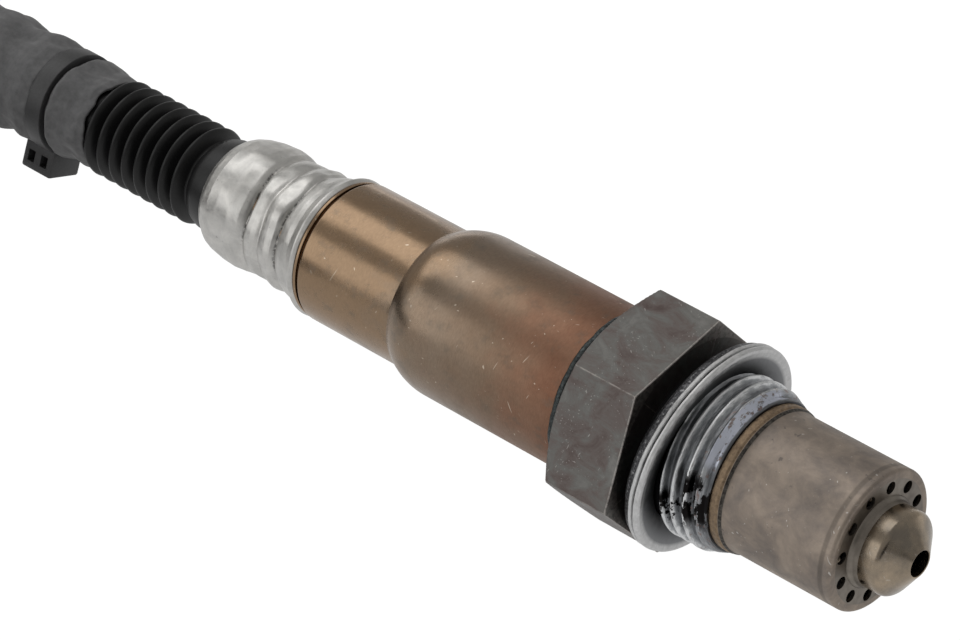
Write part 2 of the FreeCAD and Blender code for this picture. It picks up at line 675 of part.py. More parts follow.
def cable_tie():
    """Strap round the gathered sheath, with its ratchet head and cut tail."""
    body = new_body("cable_tie")
    place_x = -size("strap_place")
    half = size("strap_width") / 2
    inner = size("strap_seat_radius") + "strap_fit"
    outer = inner + "strap_thick"
    turned(body, "band", rectangle(place_x - half, place_x + half, inner, outer))
    head_half = size("strap_head_long") / 2
    wide = size("strap_head_wide") / 2
    low = outer - size("strap_thick") / 2
    high = low + "strap_head_tall"
    extruded(body, "head", [rectangle(-wide, wide, low, high)], place_x - head_half, "strap_head_long")
    slot_side = -size("strap_slot_shift")
    slot = rectangle(slot_side, slot_side + "strap_slot_thick", outer + "strap_slot_lift", high + PAST)
    extruded(body, "slot", [slot], place_x - half, "strap_width", "PartDesign::Pocket")
    tail_side = slot_side + "strap_tail_play"
    tail = rectangle(tail_side, tail_side + "strap_tail_thick", outer + "strap_tail_lift",
                     high + "strap_tail_stub")
    extruded(body, "tail", [tail], place_x - half + "strap_tail_play",
             size("strap_width") - size("strap_tail_play") * 2)
    turn = size("strap_head_angle") - 90
    body.Placement = Placement(Vector(), Rotation(Vector(1, 0, 0), turn.number))
    body.setExpression("Placement.Rotation.Angle", turn.text)
    return keep(body, "cable_tie")


def rounded_route(points):
    """Straight runs joined by tangent arcs, and the radius of each arc."""
    edges = []
    radii = []
    start = points[0]
    for i in range(1, len(points) - 1):
        arrive = points[i] - points[i - 1]
        leave = points[i + 1] - points[i]
        half_turn = arrive.getAngle(leave) / 2
        reach = 0.45 * min(arrive.Length, leave.Length)
        radii.append(reach / math.tan(half_turn))
        arrive.normalize()
        leave.normalize()
        first = points[i] - arrive * reach
        last = points[i] + leave * reach
        bisector = (leave - arrive).normalize()
        middle = points[i] + bisector * (radii[-1] / math.cos(half_turn) - radii[-1])
        edges.append(Part.LineSegment(start, first).toShape())
        edges.append(Part.Arc(first, middle, last).toShape())
        start = last
    edges.append(Part.LineSegment(start, points[-1]).toShape())
    return edges, radii


def tube_along(edges, start, heading, radius):
    """A round tube swept along the edges, tested against section times length."""
    wire = Part.Wire(edges)
    section = Part.Wire([Part.Circle(start, heading, radius).toShape()])
    pipe = wire.makePipeShell([section], True, True)
    expected = math.pi * radius * radius * wire.Length
    if abs(pipe.Volume - expected) > 0.01 * expected:
        raise ValueError(f"tube volume {pipe.Volume:.0f} is not {expected:.0f}")
    return pipe, wire.Length


def feature_from(name, shape, spot=Placement()):
    item = doc.addObject("Part::Feature", name + "_shape")
    item.Shape = shape
    item.Placement = spot
    return keep(item, name)


def number(name):
    return size(name).number


# Route of the sheath from its gathered end up onto the coil, chosen by hand
LEAD_ROUTE = [(-101.0, 0.0, 0.0), (-111.5, 0.0, 0.0), (-127.5, 0.0, 4.23), (-147.0, 0.0, 4.23)]

# Flat steps that the coil's way down from its upper pass to its lower one is made of
DOWN_STEPS = 12


def pass_outline(turn, low, high, radius):
    """Section of the wound sheath: one pass, or two on each other with their middles low and high."""
    if high == low:
        return Part.Wire([Part.Circle(Vector(turn, 0, low), Vector(0, 1, 0), radius).toShape()])
    outer, inner = turn + radius, turn - radius
    top = Part.Arc(Vector(outer, 0, high), Vector(turn, 0, high + radius), Vector(inner, 0, high))
    bottom = Part.Arc(Vector(inner, 0, low), Vector(turn, 0, low - radius), Vector(outer, 0, low))
    outer_side = Part.LineSegment(Vector(outer, 0, low), Vector(outer, 0, high))
    inner_side = Part.LineSegment(Vector(inner, 0, high), Vector(inner, 0, low))
    return Part.Wire([line.toShape() for line in (outer_side, top, inner_side, bottom)])


def wound(turn, low, high, radius, start, end):
    """The passes of the sheath from one angle round the coil to another."""
    face = Part.Face(pass_outline(turn, low, high, radius))
    face.rotate(Vector(), Vector(0, 0, 1), start)
    return face.revolve(Vector(), Vector(0, 0, 1), end - start)


def way_down(turn, low, high, radius, start, end):
    """The stretch where the sheath comes down from the upper pass to the lower one."""
    sections = []
    for k in range(DOWN_STEPS + 1):
        share = k / DOWN_STEPS
        level = high + (low - high) * share * share * (3 - 2 * share)
        outline = pass_outline(turn, level, level, radius)
        outline.rotate(Vector(), Vector(0, 0, 1), start + (end - start) * share)
        sections.append(outline)
    return Part.makeLoft(sections, True, True)


def round_axis(angle):
    """The outward and the forward direction at an angle round the coil."""
    angle = math.radians(angle)
    return Vector(math.cos(angle), math.sin(angle), 0), Vector(-math.sin(angle), math.cos(angle), 0)


def sheath():
    """The long sheath: its lead from the sensor, a neat coil of two passes, and its tail."""
    radius = sheath_radius.number
    route = [Vector(*point) for point in LEAD_ROUTE]
    edges, radii = rounded_route(route)
    lead, lead_length = tube_along(edges, route[0], route[1] - route[0], radius)
    print("lead arcs, mm:", [round(value, 1) for value in radii])
    feature_from("sheath_lead", lead)

    turn = number("coil_turn_radius")
    low = floor_level.number + radius
    high = low + 2 * radius
    middle = Vector(-number("coil_middle"), -turn, 0)
    enter, leave = number("coil_enter"), number("coil_leave")
    down_start, down_end = number("coil_down_start"), number("coil_down_end")
    both = wound(turn, low, high, radius, enter, leave - 360)
    coil = both.fuse([wound(turn, high, high, radius, leave - 360, down_start),
                      way_down(turn, low, high, radius, down_start, down_end),
                      wound(turn, low, low, radius, down_end - 360, enter)]).removeSplitter()
    strap, groove = coil_strap(turn, low, high, radius)
    strap_turn = Rotation(Vector(0, 0, 1), number("coil_strap_angle"))
    groove.Placement = Placement(Vector(), strap_turn)
    feature_from("sheath_coil", coil.cut(groove), Placement(middle, Rotation()))
    feature_from("coil_tie", strap, Placement(middle, strap_turn))
    down = math.hypot(turn * math.radians(down_end - down_start), high - low)
    level_angle = leave - enter - (down_end - down_start)
    coil_length = turn * math.radians(level_angle) + down

    bend = number("tail_radius")
    swing = number("tail_turn")
    outward, forward = round_axis(leave)
    tail_start = middle + outward * turn + Vector(0, 0, low)
    hub = tail_start - outward * bend
    arc_middle = hub + round_axis(leave + swing / 2)[0] * bend
    arc_end = hub + round_axis(leave + swing)[0] * bend
    heading = round_axis(leave + swing)[1]
    tail_end = arc_end + heading * number("tail_straight")
    edges = [Part.Arc(tail_start, arc_middle, arc_end).toShape(),
             Part.LineSegment(arc_end, tail_end).toShape()]
    tail, tail_length = tube_along(edges, tail_start, forward, radius)
    print("tail arc, mm:", bend, " sheath length, mm:", round(lead_length + coil_length + tail_length, 1))
    feature_from("sheath_tail", tail)
    return Placement(tail_end, Rotation(Vector(0, 0, 1), math.degrees(math.atan2(heading.y, heading.x))))


def coil_strap(turn, low, high, radius):
    """Strap drawn tight round both passes, and the room that it takes from the coil."""
    width = number("coil_strap_width")
    thick = number("coil_strap_thick")
    head = number("coil_strap_head")
    tall = number("coil_strap_head_tall")
    whole = upright_bar(turn, low, high, radius, width)
    core = upright_bar(turn, low, high, radius - thick, width + 2 * PAST)
    reach = radius + PAST
    around_corner = Vector(turn - reach, -width / 2, low - reach)
    around = Part.makeBox(2 * reach, width, high - low + 2 * reach, around_corner)
    groove = around.cut(core)
    corner = Vector(turn - radius - tall, -width / 2, (low + high - head) / 2)
    head_box = Part.makeBox(tall, width, head, corner)
    head_box = head_box.makeFillet(number("coil_strap_head_round"), head_box.Edges[0:4])
    return whole.cut(core).fuse(head_box).removeSplitter(), groove


def upright_bar(turn, low, high, radius, width):
    """A bar with the section of both passes, width long across the strap."""
    outline = pass_outline(turn, low, high, radius)
    outline.translate(Vector(0, -width / 2, 0))
    return Part.Face(outline).extrude(Vector(0, width, 0))


def plug(spot):
    """Six-way plug: housing with its latch, wire seal, terminal lock, terminals, nose ring."""
    low = -sheath_radius
    high = low + "plug_height"
    middle_up = low + size("plug_height") / 2
    half_width = size("plug_width") / 2
    nose_half = size("nose_width") / 2
    nose_up = size("nose_height") / 2
    full = size("plug_length") + "nose_length"
    turn = size("plug_round")

    body = new_body("plug_housing")
    extruded(body, "shell", [rounded_box(-half_width, half_width, low, high, turn)], 0, "plug_length")
    nose = rounded_box(-nose_half, nose_half, middle_up - nose_up, middle_up + nose_up, turn)
    extruded(body, "nose", [nose], 0, full)
    side = size("seal_side")
    seal_room = rounded_box(side - half_width, half_width - side, low + side, high - side, turn)
    extruded(body, "seal_room", [seal_room], 0, "seal_pocket", "PartDesign::Pocket")
    half_cell = size("cavity_side") / 2
    cells = []
    places = []
    for column in (-1, 0, 1):
        for level in (-0.5, 0.5):
            y = size("cavity_pitch_y") * column
            z = middle_up + size("cavity_pitch_z") * level
            places.append((y, z))
            cells.append(rectangle(y - half_cell, y + half_cell, z - half_cell, z + half_cell))
    extruded(body, "cells", cells, "seal_pocket", full - "seal_pocket" - "front_wall", "PartDesign::Pocket")
    across = size("port_width") / 2
    tall = size("port_height") / 2
    ports = [rectangle(y - across, y + across, z - tall, z + tall) for y, z in places]
    extruded(body, "ports", ports, full - "front_wall" - PAST, size("front_wall") + PAST * 2,
             "PartDesign::Pocket")
    lock_sketch_width = size("plug_width") - size("lock_side") * 2
    lock = new_sketch(body, "lock_room_outline", "XZ_Plane", -lock_sketch_width / 2)
    lock_end = size("lock_place") + "lock_length"
    draw(lock, rectangle("lock_place", lock_end, low - PAST, low + "lock_depth"))
    pocket = body.newObject("PartDesign::Pocket", "lock_room")
    pocket.Profile = lock
    pocket.Length = lock_sketch_width.number
    pocket.setExpression("Length", lock_sketch_width.text)
    pocket.Reversed = True
    latch(body, high)
    body.Placement = spot
    keep(body, "plug_housing")

    gap = size("plug_fit")
    seal = new_body("plug_wire_seal")
    extruded(seal, "block", [rounded_box(side - half_width + gap, half_width - side - gap,
                                         low + side + gap, high - side - gap, turn - gap)],
             0, size("seal_pocket") - gap)
    seal.Placement = spot
    keep(seal, "plug_wire_seal")

    bar = new_body("plug_terminal_lock")
    lock_half = lock_sketch_width / 2 - gap
    extruded(bar, "bar", [rectangle(-lock_half, lock_half, low + "lock_sink", low + "lock_depth" - gap)],
             size("lock_place") + gap, size("lock_length") - gap * 2)
    bar.Placement = spot
    keep(bar, "plug_terminal_lock")

    ring = new_body("plug_nose_ring")
    wall = size("nose_ring_wall")
    inner = rounded_box(-nose_half - gap, nose_half + gap, middle_up - nose_up - gap,
                        middle_up + nose_up + gap, turn + gap)
    outer = rounded_box(-nose_half - wall, nose_half + wall, middle_up - nose_up - wall,
                        middle_up + nose_up + wall, turn + wall)
    extruded(ring, "ring", [outer, inner], size("plug_length") + gap, "nose_ring_length")
    ring.Placement = spot
    keep(ring, "plug_nose_ring")

    terminals = []
    half_pin = size("terminal_side") / 2
    for k, (y, z) in enumerate(places):
        pin = new_body(f"pin_{k}")
        pin_low = z - half_cell + gap
        outline = rectangle(y - half_pin, y + half_pin, pin_low, pin_low + "terminal_side")
        extruded(pin, f"pin_{k}_box", [outline], size("seal_pocket") + gap, "terminal_length")
        terminals.append(pin)
    pins = group("pin_group", terminals)
    pins.Placement = spot
    keep(pins, "plug_terminals")


def rounded_box(left, right, low, high, turn):
    """A rectangle with rounded corners."""
    return [(left + turn, low), (right - turn, low), (right, low + turn, turn, 1),
            (right, high - turn), (right - turn, high, turn, 1),
            (left + turn, high), (left, high - turn, turn, 1),
            (left, low + turn), (left + turn, low, turn, 1)][1:]


def latch(body, top):
    """Springy arm on the plug's back, hooked at its free end."""
    half = size("latch_width") / 2
    root = size("plug_length") - "latch_length" + "latch_reach"
    arm_low = top + "latch_gap"
    arm_high = arm_low + "latch_thick"
    end = root + "latch_length"
    sketch = new_sketch(body, "latch_outline", "XZ_Plane", -half)
    foot_low = top - "latch_sink"
    tooth_top = end - "latch_tooth_length"
    draw(sketch, [(root, foot_low), (root + "latch_foot", foot_low), (root + "latch_foot", arm_low),
                  (end, arm_low), (end, arm_high), (tooth_top, arm_high + "latch_tooth"),
                  (tooth_top - "latch_tooth_length", arm_high), (root + "latch_slope", arm_high),
                  (root, arm_high - "latch_slope")])
    pad = body.newObject("PartDesign::Pad", "latch")
    pad.Profile = sketch
    pad.Length = size("latch_width").number
    pad.setExpression("Length", size("latch_width").text)


def build():
    sensor_housing()
    captive_gasket()
    outer_protection_tube()
    inner_protection_tube()
    sealing_stack()
    outer_sleeve()
    contact_holder()
    contacts_and_leads()
    wire_grommet()
    crimp_cap()
    bellows_boot()
    sheath_cuff()
    cable_tie()
    plug(sheath())
    doc.recompute()


def check():
    """Stop on any feature that failed, or any sub-part without a sound shape."""
    for item in doc.Objects:
        if "Invalid" in item.State or "Error" in item.State:
            raise ValueError(f"{item.Name} failed: {item.State}")
    for name, item in NODES:
        if item.Shape.isNull() or not item.Shape.isValid():
            raise ValueError(f"{name} has no sound shape")


def write():
    os.makedirs("parts", exist_ok=True)
    for name, item in NODES:
        item.Shape.exportStep(f"parts/{name}.step")
        print(name, "solids", len(item.Shape.Solids), "volume", round(item.Shape.Volume, 2))


build()
check()
write()
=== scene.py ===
import math
import bpy
import bmesh
import numpy as np
from mathutils import Matrix, Vector


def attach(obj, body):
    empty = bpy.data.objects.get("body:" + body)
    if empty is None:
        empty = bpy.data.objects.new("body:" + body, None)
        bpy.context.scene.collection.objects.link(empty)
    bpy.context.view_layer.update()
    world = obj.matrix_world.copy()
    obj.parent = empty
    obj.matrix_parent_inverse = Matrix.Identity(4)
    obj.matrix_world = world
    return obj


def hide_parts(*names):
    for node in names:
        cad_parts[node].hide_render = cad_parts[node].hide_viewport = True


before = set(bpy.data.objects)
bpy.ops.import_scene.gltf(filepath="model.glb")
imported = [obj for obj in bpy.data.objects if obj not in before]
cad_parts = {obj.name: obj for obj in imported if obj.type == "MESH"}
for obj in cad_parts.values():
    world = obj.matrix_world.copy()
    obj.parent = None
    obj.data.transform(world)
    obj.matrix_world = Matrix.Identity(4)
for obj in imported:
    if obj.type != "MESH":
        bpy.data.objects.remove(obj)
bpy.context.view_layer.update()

# The sensor's axis is X, its hexagon's front face is at zero, and angles round
# the axis are counted from +Y towards +Z. Outlines below are in millimetres.
MM = 0.001
TURN = 2 * math.pi

# Camera
CAMERA_PLACE = (0.24834, -0.30185, 0.30279)
CAMERA_AZIMUTH = 42.47
CAMERA_ELEVATION = 36.45
CAMERA_LENS = 187.62
SENSOR_WIDTH = 36.0

# Housing
HEX_FLATS = 22.15
HEX_LENGTH = 9.0
HEX_PHASE = 10.46
HEX_EDGE_ROUND = 0.05
HEX_FRONT_EDGE = 0.07
CHAMFER_LENGTH = 1.22
CHAMFER_DROP = 2.35
RELIEF_RADIUS = 8.0
RELIEF_LENGTH = 3.0
THREAD_RADIUS = 9.0
THREAD_PITCH = 1.5
THREAD_DEPTH = 0.86
THREAD_RUNOUT = 0.9
THREAD_START = 0.55
NOSE = 9.24
NOSE_START = 7.2
NOSE_SLOPE = 0.42

# Loose gasket ring, which leans against the hexagon at the bottom
GASKET_TILT = 7.0

# Tubes
TUBE_RADIUS = 7.63
TUBE_FACE = 24.04
TUBE_WALL = 0.4
TUBE_CORNER = 0.9
FACE_RADIUS = 6.7
BASE_RADIUS = 7.92
BASE_END = 10.29
VENT_CIRCLE = 5.93
VENT_RADIUS = 0.68
VENT_PHASE = 16.7
VENT_COUNT = 12
SNOUT_RADIUS = 4.52
SNOUT_SHOULDER = 27.05
SNOUT_TIP = 29.08
NOZZLE_RADIUS = 1.42

# Sleeve and cap
SLEEVE_RADIUS = 9.07
SMALL_SLEEVE_RADIUS = 7.8
SHOULDER_START = -29.6
SHOULDER_END = -33.5
SMALL_SLEEVE_END = -46.5

# Creases of the cap: place, sway and lobes
REAR_CREASE = (-55.65, 0.18, 3)
FRONT_CREASE = (-50.95, 0.14, 4)

# Boot and sheath
RIB_START = -66.0
RIB_PITCH = 1.85
RIB_COUNT = 8
VALLEY_RADIUS = 4.2
RIB_HEIGHT = 1.3
TIE_FRONT = -86.95
TIE_REAR = -89.15
TIE_HEAD_ANGLE = 159.0
FLOOR = -11.97

# Sheath: the same route as the solid's, in metres, then the coil's two passes and its tail
LEAD_ROUTE = [(-0.1010, 0.0, 0.0), (-0.1115, 0.0, 0.0), (-0.1275, 0.0, 0.00423)]
SHEATH_DIAMETER = 0.0108
COIL_MIDDLE = (-0.1470, -0.0540)
COIL_RADIUS = 0.0540
COIL_LOW = -0.00657
COIL_HIGH = COIL_LOW + SHEATH_DIAMETER
COIL_ENTER = 90.0
COIL_DOWN = (330.0, 400.0)
COIL_LEAVE = 660.0
COIL_STEPS = 26
TAIL_RADIUS = 0.0340
TAIL_TURN = 142.0
TAIL_STEPS = 8
TAIL_STRAIGHT = 0.0060
COIL_TIE_ANGLE = 200.0
COIL_TIE_STEPS = 48

# Heat tints of the sleeve, from its rear to the hexagon
TINT_START = -47.0
TINT_LENGTH = 38.0
SLEEVE_TINTS = [
    (0.00, (0.300, 0.205, 0.130)),
    (0.32, (0.285, 0.195, 0.125)),
    (0.46, (0.250, 0.190, 0.140)),
    (0.66, (0.235, 0.165, 0.115)),
    (0.84, (0.255, 0.148, 0.098)),
    (1.00, (0.215, 0.110, 0.070)),
]

# Soft panels: turn about the axis where the metal mirrors them, distance, width, length, radiance
PANELS = {
    "top_panel": (87, 0.7, 0.40, 0.8, 1.30),
    "side_panel": (159, 0.7, 0.48, 0.8, 0.95),
    "back_panel": (-16, 0.8, 0.45, 0.8, 1.15),
}
PANEL_ALONG = -0.543
PANEL_TARGET = (-0.03, 0, 0)
AMBIENT = 0.42
AMBIENT_DARK = 0.04
DARK_WAY = (0.886, -0.465, 0.03)
BACKDROP_LIFT = 0.65
FLOOR_GLOW = 0.78
FLOOR_LIFT = 0.35
FLOOR_SHARE = 0.88


def add_object(name, data):
    item = bpy.data.objects.new(name, data)
    bpy.context.collection.objects.link(item)
    return item


def mesh_object(name, verts, faces):
    """A mesh from millimetre points, in metres."""
    mesh = bpy.data.meshes.new(name)
    mesh.from_pydata([tuple(float(c) * MM for c in v) for v in verts], [], faces)
    mesh.validate()
    return add_object(name, mesh)


def final_mesh(item):
    """The mesh of a curve, or of an object with its modifiers applied."""
    bpy.context.view_layer.update()
    return bpy.data.meshes.new_from_object(item.evaluated_get(bpy.context.evaluated_depsgraph_get()))


def ring_faces(count, steps, closed=False):
    """Faces between neighbouring rings of points; closed joins the last ring to the first."""
    faces = []
    for i in range(count if closed else count - 1):
        near, far = i * steps, (i + 1) % count * steps
        for k in range(steps):
            n = (k + 1) % steps
            faces.append((near + k, far + k, far + n, near + n))
    return faces


def finish_mesh(item, crease):
    """Consistent outward faces, smooth but for edges sharper than the crease angle."""
    bm = bmesh.new()
    bm.from_mesh(item.data)
    bmesh.ops.remove_doubles(bm, verts=bm.verts, dist=1e-7)
    bmesh.ops.recalc_face_normals(bm, faces=bm.faces)
    limit = math.radians(crease)
    for face in bm.faces:
        face.smooth = True
    for edge in bm.edges:
        edge.smooth = len(edge.link_faces) == 2 and edge.calc_face_angle(0.0) < limit
    bm.to_mesh(item.data)
    bm.free()
    return item


def rounded(points, steps):
    """An outline of (x, radius, corner rounding) with its corners turned to small arcs."""
    out = []
    count = len(points)
    for i, point in enumerate(points):
        here = np.array(point[:2], float)
        if len(point) < 3 or i in (0, count - 1):
            out.append(tuple(here))
            continue
        before = np.array(points[i - 1][:2], float) - here
        after = np.array(points[i + 1][:2], float) - here
        len_before, len_after = np.linalg.norm(before), np.linalg.norm(after)
        before, after = before / len_before, after / len_after
        angle = math.acos(max(-1.0, min(1.0, float(before @ after))))
        reach = min(point[2] / math.tan(angle / 2), 0.49 * len_before, 0.49 * len_after)
        radius = reach * math.tan(angle / 2)
        middle = before + after
        middle = middle / np.linalg.norm(middle)
        centre = here + middle * (radius / math.sin(angle / 2))
        start = here + before * reach - centre
        end = here + after * reach - centre
        low = math.atan2(start[1], start[0])
        sweep = (math.atan2(end[1], end[0]) - low + math.pi) % TURN - math.pi
        for k in range(steps + 1):
            turn = low + sweep * k / steps
            out.append((centre[0] + radius * math.cos(turn), centre[1] + radius * math.sin(turn)))
    return out


def dense(outline, step):
    """The outline with points added so that none of its runs is longer than step."""
    out = [outline[0]]
    for (x0, r0), (x1, r1) in zip(outline, outline[1:]):
        parts = max(1, int(math.ceil(math.hypot(x1 - x0, r1 - r0) / step)))
        for k in range(1, parts + 1):
            out.append((x0 + (x1 - x0) * k / parts, r0 + (r1 - r0) * k / parts))
    return out


def lathe(name, outline, steps=192, shape=None, crease=38.0):
    """Turns an outline of (x, radius) about the axis. shape(x, radius, angle) may change
    the arrays of x and radius as it goes round."""
    outline = np.array(outline, float)
    x = np.repeat(outline[:, :1], steps, axis=1)
    radius = np.repeat(outline[:, 1:2], steps, axis=1)
    angle = np.repeat(np.linspace(0, TURN, steps, endpoint=False)[None, :], len(outline), axis=0)
    if shape is not None:
        x, radius = shape(x, radius, angle)
    verts = np.stack([x, radius * np.cos(angle), radius * np.sin(angle)], axis=-1).reshape(-1, 3)
    return finish_mesh(mesh_object(name, verts, ring_faces(len(outline), steps)), crease)


def wave(seed, x, angle, along, around):
    """Smooth seeded noise over a cylinder, about -1 to 1: along per millimetre, around in lobes."""
    rng = np.random.default_rng(seed)
    total = np.zeros_like(x)
    weight = 0.0
    for octave in range(3):
        share = 0.55 ** octave
        for _ in range(4):
            lobes = rng.integers(1, max(2, int(around * (octave + 1)) + 1))
            rate = rng.normal(0, along * (octave + 1))
            total += share * np.sin(lobes * angle + rate * x + rng.uniform(0, TURN))
        weight += share * 2.0
    return total / weight


def smooth_step(low, high, value):
    """0 at low, 1 at high, soft at both ends."""
    t = np.clip((value - low) / (high - low), 0, 1)
    return t * t * (3 - 2 * t)


def bump_at(value, centre, width):
    """A bell of height 1 at centre."""
    return np.exp(-((value - centre) / width) ** 2)


def angle_bell(angle, centre, width):
    """A bell of height 1 at an angle in degrees, round the circle."""
    away = (np.degrees(angle) - centre + 180) % 360 - 180
    return np.exp(-(away / width) ** 2)


# Materials

def new_material(name, metallic=0.0):
    material = bpy.data.materials.new(name)
    material.use_nodes = True
    tree = material.node_tree
    shader = tree.nodes["Principled BSDF"]
    shader.inputs["Metallic"].default_value = metallic
    return material, tree, shader


def node(tree, kind, **inputs):
    item = tree.nodes.new(kind)
    for key, value in inputs.items():
        setattr(item, key, value)
    return item


def link(tree, source, target):
    tree.links.new(source, target)


def coordinates(tree, scale=(1.0, 1.0, 1.0), turn=None):
    """Object coordinates in millimetres, turned if asked, then stretched by scale."""
    place = node(tree, "ShaderNodeTexCoord")
    mapping = node(tree, "ShaderNodeMapping", vector_type="TEXTURE")
    mapping.inputs["Scale"].default_value = tuple(MM / s for s in scale)
    if turn:
        mapping.inputs["Rotation"].default_value = tuple(math.radians(t) for t in turn)
    link(tree, place.outputs["Object"], mapping.inputs["Vector"])
    return mapping.outputs["Vector"]


def noise(tree, vector, scale, detail, rough=0.55, distortion=0.0):
    texture = node(tree, "ShaderNodeTexNoise")
    texture.inputs["Scale"].default_value = scale
    texture.inputs["Detail"].default_value = detail
    texture.inputs["Roughness"].default_value = rough
    texture.inputs["Distortion"].default_value = distortion
    link(tree, vector, texture.inputs["Vector"])
    return texture.outputs["Fac"]


def ramp(tree, value, stops):
    """A colour ramp of (position, colour) stops, colours linear."""
    item = node(tree, "ShaderNodeValToRGB")
    elements = item.color_ramp.elements
    while len(elements) < len(stops):
        elements.new(0.5)
    for element, (position, colour) in zip(elements, stops):
        element.position = position
        element.color = (*colour, 1.0)
    link(tree, value, item.inputs["Fac"])
    return item.outputs["Color"]


def mix(tree, factor, first, second, blend="MIX"):
    """The second colour over the first, by a factor; each may be a value or a node's output."""
    item = node(tree, "ShaderNodeMix", data_type="RGBA", blend_type=blend)
    sockets = [s for s in item.inputs if s.enabled]
    for socket, value in zip(sockets, (factor, first, second)):
        if hasattr(value, "is_output"):
            link(tree, value, socket)
        elif socket.type == "RGBA":
            socket.default_value = (*value, 1.0)
        else:
            socket.default_value = value
    return [s for s in item.outputs if s.enabled][0]


def math_node(tree, operation, first, second=None, clamp=False):
    """One sum on values or node outputs."""
    item = node(tree, "ShaderNodeMath", operation=operation, use_clamp=clamp)
    for socket, value in zip(item.inputs, (first, second)):
        if value is None:
            continue
        if hasattr(value, "is_output"):
            link(tree, value, socket)
        else:
            socket.default_value = value
    return item.outputs["Value"]


def times(tree, first, second):
    return math_node(tree, "MULTIPLY", first, second)


def plus(tree, first, second):
    return math_node(tree, "ADD", first, second)


def span(tree, value, low, high, to_low=0.0, to_high=1.0):
    """A value between low and high turned softly into one between to_low and to_high."""
    item = node(tree, "ShaderNodeMapRange", interpolation_type="SMOOTHSTEP")
    for key, number in (("From Min", low), ("From Max", high), ("To Min", to_low), ("To Max", to_high)):
        item.inputs[key].default_value = number
    link(tree, value, item.inputs["Value"])
    return item.outputs["Result"]


def add_bump(tree, shader, height, strength, distance):
    """Fine relief in the shading, on top of any that is there; distance in millimetres."""
    bump = node(tree, "ShaderNodeBump")
    bump.inputs["Strength"].default_value = strength
    bump.inputs["Distance"].default_value = distance * MM
    link(tree, height, bump.inputs["Height"])
    if shader.inputs["Normal"].links:
        link(tree, shader.inputs["Normal"].links[0].from_socket, bump.inputs["Normal"])
    link(tree, bump.outputs["Normal"], shader.inputs["Normal"])


def srgb(red, green, blue):
    """A colour written as 0 to 255 values, made linear."""
    out = []
    for value in (red, green, blue):
        value /= 255.0
        out.append(value / 12.92 if value <= 0.04045 else ((value + 0.055) / 1.055) ** 2.4)
    return tuple(out)


def drawn_steel(name, light, dark, roughness, grain, relief, marks=0.0):
    """Drawn or turned steel: cloudy tint, fine grain round the axis, small bright marks."""
    material, tree, shader = new_material(name, 1.0)
    clouds = noise(tree, coordinates(tree, (0.12, 0.2, 0.2)), 1.6, 6.0, 0.62)
    colour = ramp(tree, clouds, [(0.34, dark), (0.66, light)])
    grain_field = noise(tree, coordinates(tree, (3.0, 0.35, 0.35)), 2.2, 4.0, 0.6)
    colour = grainy(tree, colour, grain_field, grain)
    uneven = noise(tree, coordinates(tree, (0.5, 0.5, 0.5)), 2.0, 3.0)
    if marks:
        colour = scratched(tree, colour, (1, 2, 3), marks, (0.75, 0.73, 0.70))
    coat(tree, shader, colour, span(tree, uneven, 0.3, 0.7, roughness * 0.85, roughness * 1.2))
    add_bump(tree, shader, grain_field, relief, 0.01)
    return material


def sleeve_steel():
    """Stainless steel tinted by heat: golden bronze at the rear, copper-brown and duller near the hexagon."""
    material, tree, shader = new_material("sleeve_steel", 1.0)
    along = axis_place(tree)[0]
    drift = noise(tree, coordinates(tree, (0.1, 0.12, 0.12)), 1.3, 5.0, 0.6)
    moved = plus(tree, along, span(tree, drift, 0.25, 0.75, -4.0, 4.0))
    share = math_node(tree, "DIVIDE", plus(tree, moved, -TINT_START), TINT_LENGTH, True)
    colour = ramp(tree, share, SLEEVE_TINTS)
    stain = noise(tree, coordinates(tree, (0.3, 0.35, 0.35)), 1.5, 6.0, 0.66)
    colour = mix(tree, span(tree, stain, 0.52, 0.72, 0.0, 0.45), colour, srgb(112, 104, 94))
    fine = noise(tree, coordinates(tree, (3.0, 1.1, 1.1)), 2.0, 4.0, 0.65)
    colour = grainy(tree, colour, fine, 0.14)
    colour = scratched(tree, colour, (2, 5, 9), 0.5, srgb(226, 214, 196), 4.2, 0.4, 0.80)
    dull = span(tree, along, -34.0, -14.0, 0.24, 0.50)
    coat(tree, shader, colour, plus(tree, dull, span(tree, stain, 0.35, 0.7, -0.03, 0.06)))
    add_bump(tree, shader, fine, 0.15, 0.012)
    return material


def plain_material(name, colour, roughness, metallic, speckle, scale, bump, sheen=0.0):
    """One colour, a little lighter and darker in places, with a slight bump."""
    material, tree, shader = new_material(name, metallic)
    shader.inputs["Roughness"].default_value = roughness
    shader.inputs["Sheen Weight"].default_value = sheen
    field = noise(tree, coordinates(tree), scale, 5.0, 0.6)
    dark = tuple(c * (1 - speckle) for c in colour)
    light = tuple(min(1.0, c * (1 + speckle)) for c in colour)
    link(tree, ramp(tree, field, [(0.3, dark), (0.7, light)]), shader.inputs["Base Color"])
    if bump:
        add_bump(tree, shader, field, bump, 0.05)
    return material


def object_parts(tree):
    """X, Y and Z of the place on the object, in metres."""
    place = node(tree, "ShaderNodeTexCoord")
    parts = node(tree, "ShaderNodeSeparateXYZ")
    link(tree, place.outputs["Object"], parts.inputs["Vector"])
    return parts.outputs["X"], parts.outputs["Y"], parts.outputs["Z"]


def axis_place(tree):
    """Position along the axis, distance from it and angle round it, in millimetres and degrees."""
    ahead, across, up = object_parts(tree)
    square = plus(tree, times(tree, across, across), times(tree, up, up))
    radius = times(tree, math_node(tree, "SQRT", square), 1 / MM)
    angle = times(tree, math_node(tree, "ARCTAN2", up, across), math.degrees(1.0))
    angle = math_node(tree, "MODULO", plus(tree, angle, 360.0), 360.0)
    return times(tree, ahead, 1 / MM), radius, angle


